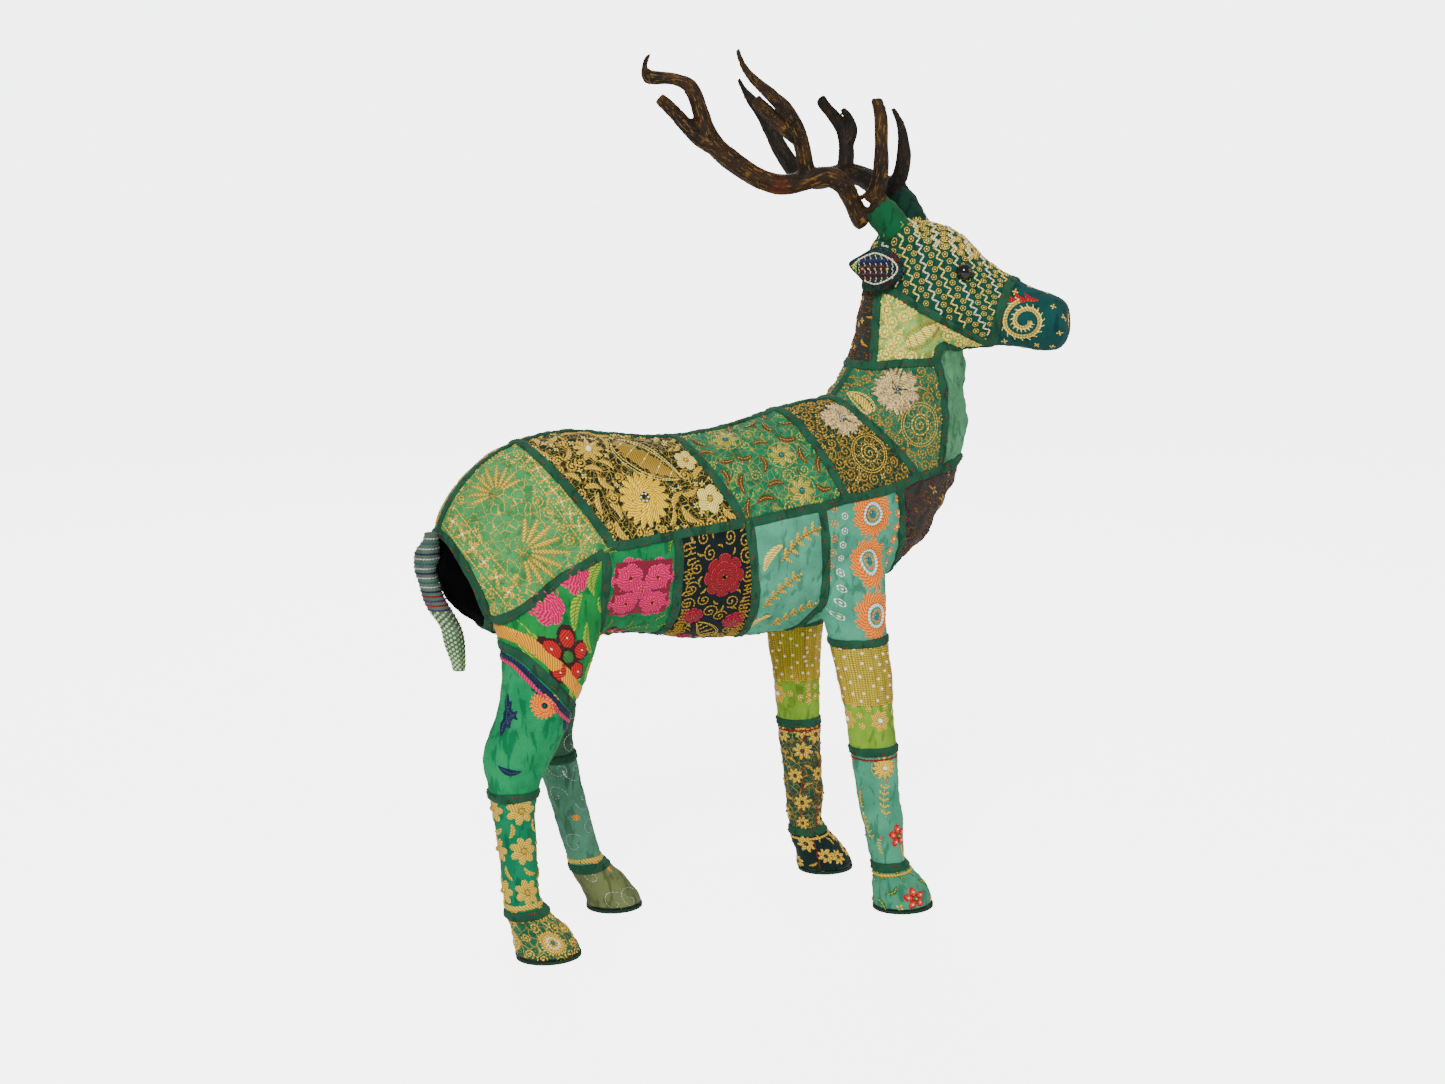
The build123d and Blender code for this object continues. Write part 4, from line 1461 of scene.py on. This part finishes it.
for own_word, other_word, away, width, tint in RIBBONS:
    for pair, run in seams:
        for here, there in (pair, pair[::-1]):
            if (PATCHES[here].startswith(own_word + "_")
                    and PATCHES[there].startswith(other_word + "_")):
                lay_ribbon(here, run, away, width, tint)

for patch in PATCHES:
    piece = piles[patch].build(patch + "_sewn", [recipe_of(patch)[0], thread, bead])
    tie(piece, patch)
binding = cotton("binding", linear(46, 94, 72), 0.55, 0.9)
tie(tape.build("seam_tape", [binding, thread, bead]), "seam_bindings")


# --- antlers --------------------------------------------------------------------------------------
BARK_RIDGE = 0.9 * MM
BARK_SWELL = 0.8 * MM
BARK_KNOB = 0.8 * MM
BRANCH_LOOK = 9 * MM          # how far round a vertex the branch's direction is read
PLUG_REACH = 20 * MM          # near the cuff the antler keeps the CAD shape
ANTLER_ROOT = 30 * MM         # from the cuff's middle down to where the bark's lines start


def remeshed(node, voxel, rounds, swell=0.0):
    """A copy of a CAD node with an even mesh, grown by the swell."""
    obj = linked(node + "_even", grown(node, swell))
    even_out(obj, voxel, rounds)
    obj.data.polygons.foreach_set("use_smooth", [True] * len(obj.data.polygons))
    return obj


def dressed(obj, name, node, material, body):
    """Names a finished piece, gives it its material and ties it to its node and body."""
    obj.name = name
    obj.data.materials.append(material)
    tie(obj, node, body)


def reach_along(mesh, start):
    """How far every vertex lies from the start, measured along the mesh."""
    points = mesh_points(mesh)
    links = [[] for _ in points]
    for edge in mesh.edges:
        a, b = edge.vertices
        gap = float(np.linalg.norm(points[a] - points[b]))
        links[a].append((b, gap))
        links[b].append((a, gap))
    first = int(np.argmin(np.linalg.norm(points - np.array(start), axis=1)))
    reach = np.full(len(points), 9.0)
    reach[first] = 0.0
    queue = [(0.0, first)]
    while queue:
        gone, a = heapq.heappop(queue)
        if gone > reach[a]:
            continue
        for b, gap in links[a]:
            if gone + gap < reach[b]:
                reach[b] = gone + gap
                heapq.heappush(queue, (reach[b], b))
    return reach


def make_antler(side, material):
    """Ridged bark; the Bark attribute runs round and along every branch."""
    obj = remeshed("antler_" + side, 1.8 * MM, 2, BARK_SWELL)
    middle, axis = cuff_axis(side)
    points, normals = mesh_points(obj.data), mesh_normals(obj.data)
    reach = reach_along(obj.data, middle - axis * ANTLER_ROOT)
    tree = kdtree.KDTree(len(points))
    for i, p in enumerate(points):
        tree.insert(p, i)
    tree.balance()
    places, rise = np.zeros((len(points), 3)), np.zeros(len(points))
    lean = np.array((0.35, 0.9, 0.25))
    for i, p in enumerate(points):
        near = [k for _, k, _ in tree.find_range(p, BRANCH_LOOK)]
        run = np.linalg.eigh(normals[near].T @ normals[near])[1][:, 0]
        first = unit(np.cross(run, lean))
        second = np.cross(run, first)
        size = max(math.hypot(normals[i] @ first, normals[i] @ second), 1e-6)
        c, s = normals[i] @ first / size, normals[i] @ second / size
        spot = Vector((c * 2.6, s * 2.6, reach[i] * 28))
        ridge = noise.noise(spot) + 0.5 * noise.noise(spot * 2.3)
        rise[i] = BARK_RIDGE * ridge + BARK_KNOB * noise.noise(Vector(p) * 55)
        places[i] = (c * 7 * MM, s * 7 * MM, reach[i] * 0.16)
    rise[np.linalg.norm(points - np.array(middle), axis=1) < PLUG_REACH] = 0
    bark_places = obj.data.attributes.new("Bark", "FLOAT_VECTOR", "POINT")
    bark_places.data.foreach_set("vector", places.ravel())
    move_points(obj.data, points + normals * rise[:, None])
    dressed(obj, f"antler_{side}_bark", "antler_" + side, material,
            "antler_" + side)


make_antler("right", bark("near_bark", linear(32, 22, 6), linear(70, 49, 17),
                          linear(156, 120, 50), linear(100, 44, 18)))
# painted shade: the far antler's bark colours are mixed darker than the near antler's
make_antler("left", bark("far_bark", linear(22, 16, 6), linear(46, 33, 14),
                         linear(100, 78, 36), linear(56, 32, 16)))


# --- cuffs ----------------------------------------------------------------------------------------
CUFF_GATHER = 14 * MM         # length of the cuff's mouth that is gathered round the antler
CUFF_CLOSE = 0.26             # how far the mouth closes
CUFF_WRINKLE = 1.0 * MM


def give_uv(obj, places):
    """Texture places for every vertex, in metres."""
    layer = obj.data.uv_layers.new(name="Cloth")
    corner = np.empty(len(obj.data.loops), int)
    obj.data.loops.foreach_get("vertex_index", corner)
    layer.data.foreach_set("uv", np.asarray(places)[corner].ravel())


def make_cuff(side, tone):
    """A wrinkled sleeve whose mouth is gathered in round the antler."""
    cuff = remeshed("cuff_" + side, 1.1 * MM, 2)
    points, normals = mesh_points(cuff.data), mesh_normals(cuff.data)
    middle, axis = cuff_axis(side)
    offset = points - np.array(middle)
    along = offset @ np.array(axis)
    radial = offset - np.outer(along, axis)
    radius = np.linalg.norm(radial, axis=1)
    first = np.cross(axis, UP)
    angle = np.arctan2(offset @ np.cross(axis, first), offset @ first)
    cloud = grain(points, 150)
    gather = np.clip((along - along.max()) / CUFF_GATHER + 1, 0, 1)
    wrinkle = (cloud + 0.6 * gather * np.sin(9 * angle + 4 * cloud)) * CUFF_WRINKLE
    wrinkle[radius < radius.mean()] = 0
    spread = radial * (CUFF_CLOSE * gather ** 2)[:, None]
    move_points(cuff.data, points + normals * wrinkle[:, None] - spread)
    give_uv(cuff, np.stack([angle * radius.mean(), along], axis=1))
    name = f"cuff_{side}_cotton"
    dressed(cuff, name, "cuff_" + side, cotton(name, tone, 0.7, 0.4), ROOT)


make_cuff("right", linear(8, 96, 62))
# painted shade: the far (left) cuff's cloth is mixed darker than the near one's
make_cuff("left", linear(10, 66, 52))


# --- ears -----------------------------------------------------------------------------------------
class LooseChart(Chart):
    """A flat map of a piece of its own, such as an ear."""

    def __init__(self, obj, out):
        points = mesh_points(obj.data)
        self.tree = tree_of(points, mesh_faces(obj.data))
        self.round = False
        self.origin = points.mean(0)
        self.make_flat(out)
        self.uv = self.flatten(points)
        self.make_grid()

    def cast(self, i, j, u, v):
        start = self.origin + self.across * u + self.up * v + self.out * 50 * MM
        hit, normal, _, _ = self.tree.ray_cast(Vector(start), Vector(-self.out), 100 * MM)
        if hit is not None:
            self.places[i, j], self.normals[i, j] = hit, normal
            self.good[i, j] = self.own[i, j] = True


def stitch_ear(chart, pile):
    """Blocks of colour under silver zigzags, inside a pale outline, with a lime tip."""
    needle = Needle(chart, pile, 0.3)
    low, high = chart.uv.min(0), chart.uv.max(0)
    middle, half = (low + high) / 2, (high - low) / 2

    def spots(x, y):
        """Map places given in half sizes of the ear."""
        return np.stack(np.broadcast_arrays(x * half[0], y * half[1]), axis=1) + middle
    along = np.linspace(-0.55, 0.5, 12)
    for rise, tint in ((0.05, MAROON), (0.34, NAVY), (-0.30, MAROON)):
        needle.blade(spots(along, rise), 2.6 * np.sqrt(1 - (along / 0.75) ** 2), tint)
    for k in range(-3, 4):
        stand = np.linspace(-0.62, 0.62, 9) * math.sqrt(1 - (k / 4.6) ** 2)
        zigzags = np.stack([1.6 * (np.arange(9) % 2), np.zeros(9)], axis=1)
        needle.cord(spots(k * 0.2, stand) + zigzags, 0.5, SILVER)
    turn = np.linspace(0, TURN, 40)
    rim = spots(0.80 * np.cos(turn), 0.72 * np.sin(turn) * (1 - 0.25 * np.abs(np.cos(turn))))
    needle.cord(rim, 0.7, CREAM)
    for k, tint in enumerate((ORANGE, YELLOW, LIME, ORANGE, YELLOW)):
        needle.bead((middle[0] + (k - 2) * 6, middle[1]), 1.2, tint)
    back = -1 if chart.across @ np.array(AHEAD) > 0 else 1
    reach = np.linspace(0.66, 0.99, 8)
    needle.blade(spots(back * reach, 0.0), half[1] * 0.9 * (1.02 - reach), LIME, height=0.5,
                 lift=0.5)


ear_cloth = brocade("ear", linear(12, 50, 52), linear(24, 84, 84), 7 * MM, 0.2,
                    linear(120, 26, 40), 0.1)
for side, sign in (("right", -1), ("left", 1)):
    node = "ear_" + side
    ear = remeshed(node, 1.5 * MM, 3)
    chart = LooseChart(ear, np.array(SIDEWAYS) * sign)
    give_uv(ear, chart.flatten(mesh_points(ear.data)) * MM)
    dressed(ear, node + "_cloth", node, ear_cloth, node)
    pile = Pile()
    stitch_ear(chart, pile)
    trim = pile.build(node + "_stitching", [ear_cloth, thread, bead])
    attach(trim, node)


# --- tail -----------------------------------------------------------------------------------------
TAIL_RINGS, TAIL_SIDES = 60, 24
SLICE_LOOK = 6 * MM           # how far from a level its outline is read
SEQUIN_TOP = 0.45             # share of the tail's height that is sequinned
SEQUIN_RADIUS = 1.5 * MM
SEQUINS = 9                   # in one ring


def tail_slices():
    """Middles and half sizes of the tail at even heights."""
    mesh = frame["nodes"]["tail"].data
    points = mesh_points(mesh)
    corners = np.concatenate([points] + [points[list(f)].mean(0)[None] for f in mesh_faces(mesh)])
    low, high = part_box("tail")
    levels = np.linspace(low.z + MM, high.z - MM, TAIL_RINGS)
    slices = []
    for level in levels:
        gaps = np.abs(corners[:, 2] - level)
        near = corners[gaps < max(SLICE_LOOK, np.sort(gaps)[12])][:, :2]
        slices.append([*(near.max(0) + near.min(0)) / 2, *(near.max(0) - near.min(0)) / 2])
    slices = np.array(slices)
    for _ in range(3):
        slices[1:-1] = (slices[:-2] + slices[2:] + 2 * slices[1:-1]) / 4
    return levels, slices


def sew_sequins(pile, part, level, start):
    """A ring of overlapping sequins round the tail."""
    for angle in turns(SEQUINS, TURN * start / SEQUINS):
        way = np.array((math.cos(angle), math.sin(angle), 0.0))
        beside = np.array((-math.sin(angle), math.cos(angle), 0.0))
        spot = np.array((*part[:2], level)) + way * np.array((*part[2:], 0))
        disc = [spot + way * (0.5 + 0.4 * math.sin(b)) * MM
                + (beside * math.cos(b) + np.array(UP) * math.sin(b)) * SEQUIN_RADIUS
                for b in turns(8)]
        pile.add(disc, [[0, 1, 2, 3], [0, 3, 4, 7], [4, 5, 6, 7]], BEAD, np.zeros((8, 2)),
                 dye(176, 208, 150, 0.5))


def make_tail():
    """Wound cords above and sequins below, on a smooth stuffed core."""
    levels, slices = tail_slices()
    share = (levels - levels[0]) / (levels[-1] - levels[0])
    angles = np.array(turns(TAIL_SIDES))
    wave = circle(1.0, angles)
    grid = np.zeros((TAIL_RINGS, TAIL_SIDES, 3))
    grid[:, :, :2] = slices[:, None, :2] + slices[:, None, 2:] * wave
    grid[:, :, 2] = levels[:, None]
    pile = Pile()
    uv = np.stack([np.tile(angles * 8 * MM, TAIL_RINGS), np.repeat(levels, TAIL_SIDES)], axis=1)
    pile.add(grid.reshape(-1, 3), grid_quads(TAIL_RINGS, TAIL_SIDES, closed=True), CLOTH, uv,
             NO_TINT)
    cap = [[k, k + 1, TAIL_SIDES - 2 - k, TAIL_SIDES - 1 - k] for k in range(TAIL_SIDES // 2 - 1)]
    for end in (0, -1):
        pile.add(grid[end], cap, CLOTH, np.zeros((TAIL_SIDES, 2)), NO_TINT)
    out = np.concatenate([wave, np.zeros((TAIL_SIDES, 1))], axis=1)
    for k in range(1, TAIL_RINGS - 1):
        if share[k] <= SEQUIN_TOP:
            sew_sequins(pile, slices[k], levels[k], 0.5 * (k % 2))
        elif k % 2:
            tints = (CRIMSON, PURPLE) if share[k] < 0.56 else (SILVER, NAVY, SILVER, TEAL)
            tube(pile, np.vstack([grid[k], grid[k][:2]]), np.vstack([out, out[:2]]), 0.8 * MM,
                 tints[(k // 2) % len(tints)])
    return pile


tail_cloth = cotton("tail", linear(96, 112, 100), 0.6, 0.5)
tie(make_tail().build("tail_sewn", [tail_cloth, thread, bead]), "tail", "tail")


# --- eyes, soles and what lies inside ---------------------------------------------------------------
INNER = {
    "_form": mottled("pulp_paper", linear(150, 136, 108), linear(206, 194, 164), 420.0, 0.9,
                     0.8 * MM),
    "eye_": mottled("eye_glass", linear(6, 6, 8), linear(20, 16, 14), 300.0, 0.06),
    "hoof_soles": mottled("sole_felt", linear(10, 44, 34), linear(20, 76, 56), 500.0, 0.95,
                          0.3 * MM),
    "wire_armature": mottled("steel", linear(96, 92, 88), linear(160, 158, 154), 700.0, 0.4,
                             0.1 * MM, 0.9),
}
for name, obj in frame["nodes"].items():
    for word, material in INNER.items():
        if word in name:
            obj.data.materials.clear()
            obj.data.materials.append(material)

# --- floor, light and camera ------------------------------------------------------------------------
FLOOR_LIGHT, FLOOR_SEEN = 0.15, 4.5
WORLD_LIGHT, WORLD_SEEN = 0.60, 5.2
LIT = Vector((0.0, 0.0, 0.45))
CAMERA_TARGET = Vector((-0.030, -0.0925, 0.400))
CAMERA_DISTANCE = 2.208
CAMERA_TURN, CAMERA_RISE = math.radians(-25), math.radians(10)


def light_by_camera(tree, other, camera_ray, socket):
    """A strength that is bright for the camera alone, so that the backdrop looks near white."""
    seen = tree.nodes.new("ShaderNodeLightPath")
    strength = tree.nodes.new("ShaderNodeMapRange")
    strength.inputs["To Min"].default_value = other
    strength.inputs["To Max"].default_value = camera_ray
    tree.links.new(seen.outputs["Is Camera Ray"], strength.inputs["Value"])
    tree.links.new(strength.outputs[0], socket)


bpy.ops.mesh.primitive_plane_add(size=60)
ground = bpy.context.object
ground.name = "floor"
pale_floor = mottled("floor", linear(238, 238, 236), linear(244, 244, 242), 3.0, 0.7)
floor_shader = pale_floor.node_tree.nodes["Principled BSDF"]
floor_shader.inputs["Emission Color"].default_value = (1, 1, 1, 1)
light_by_camera(pale_floor.node_tree, FLOOR_LIGHT, FLOOR_SEEN,
                floor_shader.inputs["Emission Strength"])
ground.data.materials.append(pale_floor)

world = bpy.data.worlds.new("studio")
bpy.context.scene.world = world
world.use_nodes = True
background = world.node_tree.nodes["Background"]
background.inputs[0].default_value = (0.97, 0.98, 1.0, 1)
light_by_camera(world.node_tree, WORLD_LIGHT, WORLD_SEEN, background.inputs[1])


def aimed(obj, way):
    """Turns a light or camera to face along a direction."""
    obj.rotation_euler = way.to_track_quat("-Z", "Y").to_euler()


def area_light(name, place, size, power):
    light = bpy.data.lights.new(name, "AREA")
    light.size = size
    light.energy = power
    obj = linked(name, light)
    obj.location = place
    aimed(obj, LIT - Vector(place))


area_light("key", (-1.6, -2.2, 2.4), 0.9, 120)
area_light("fill", (2.4, -1.6, 1.6), 2.0, 24)
area_light("back", (0.5, 2.2, 2.2), 1.6, 40)

lens = bpy.data.cameras.new("camera")
lens.lens = 55
lens.sensor_width = 36
camera = linked("camera", lens)
away = Vector((math.sin(CAMERA_TURN) * math.cos(CAMERA_RISE),
               -math.cos(CAMERA_TURN) * math.cos(CAMERA_RISE), math.sin(CAMERA_RISE)))
camera.location = CAMERA_TARGET + away * CAMERA_DISTANCE
aimed(camera, -away)
bpy.context.scene.camera = camera

bpy.data.objects.remove(skin)
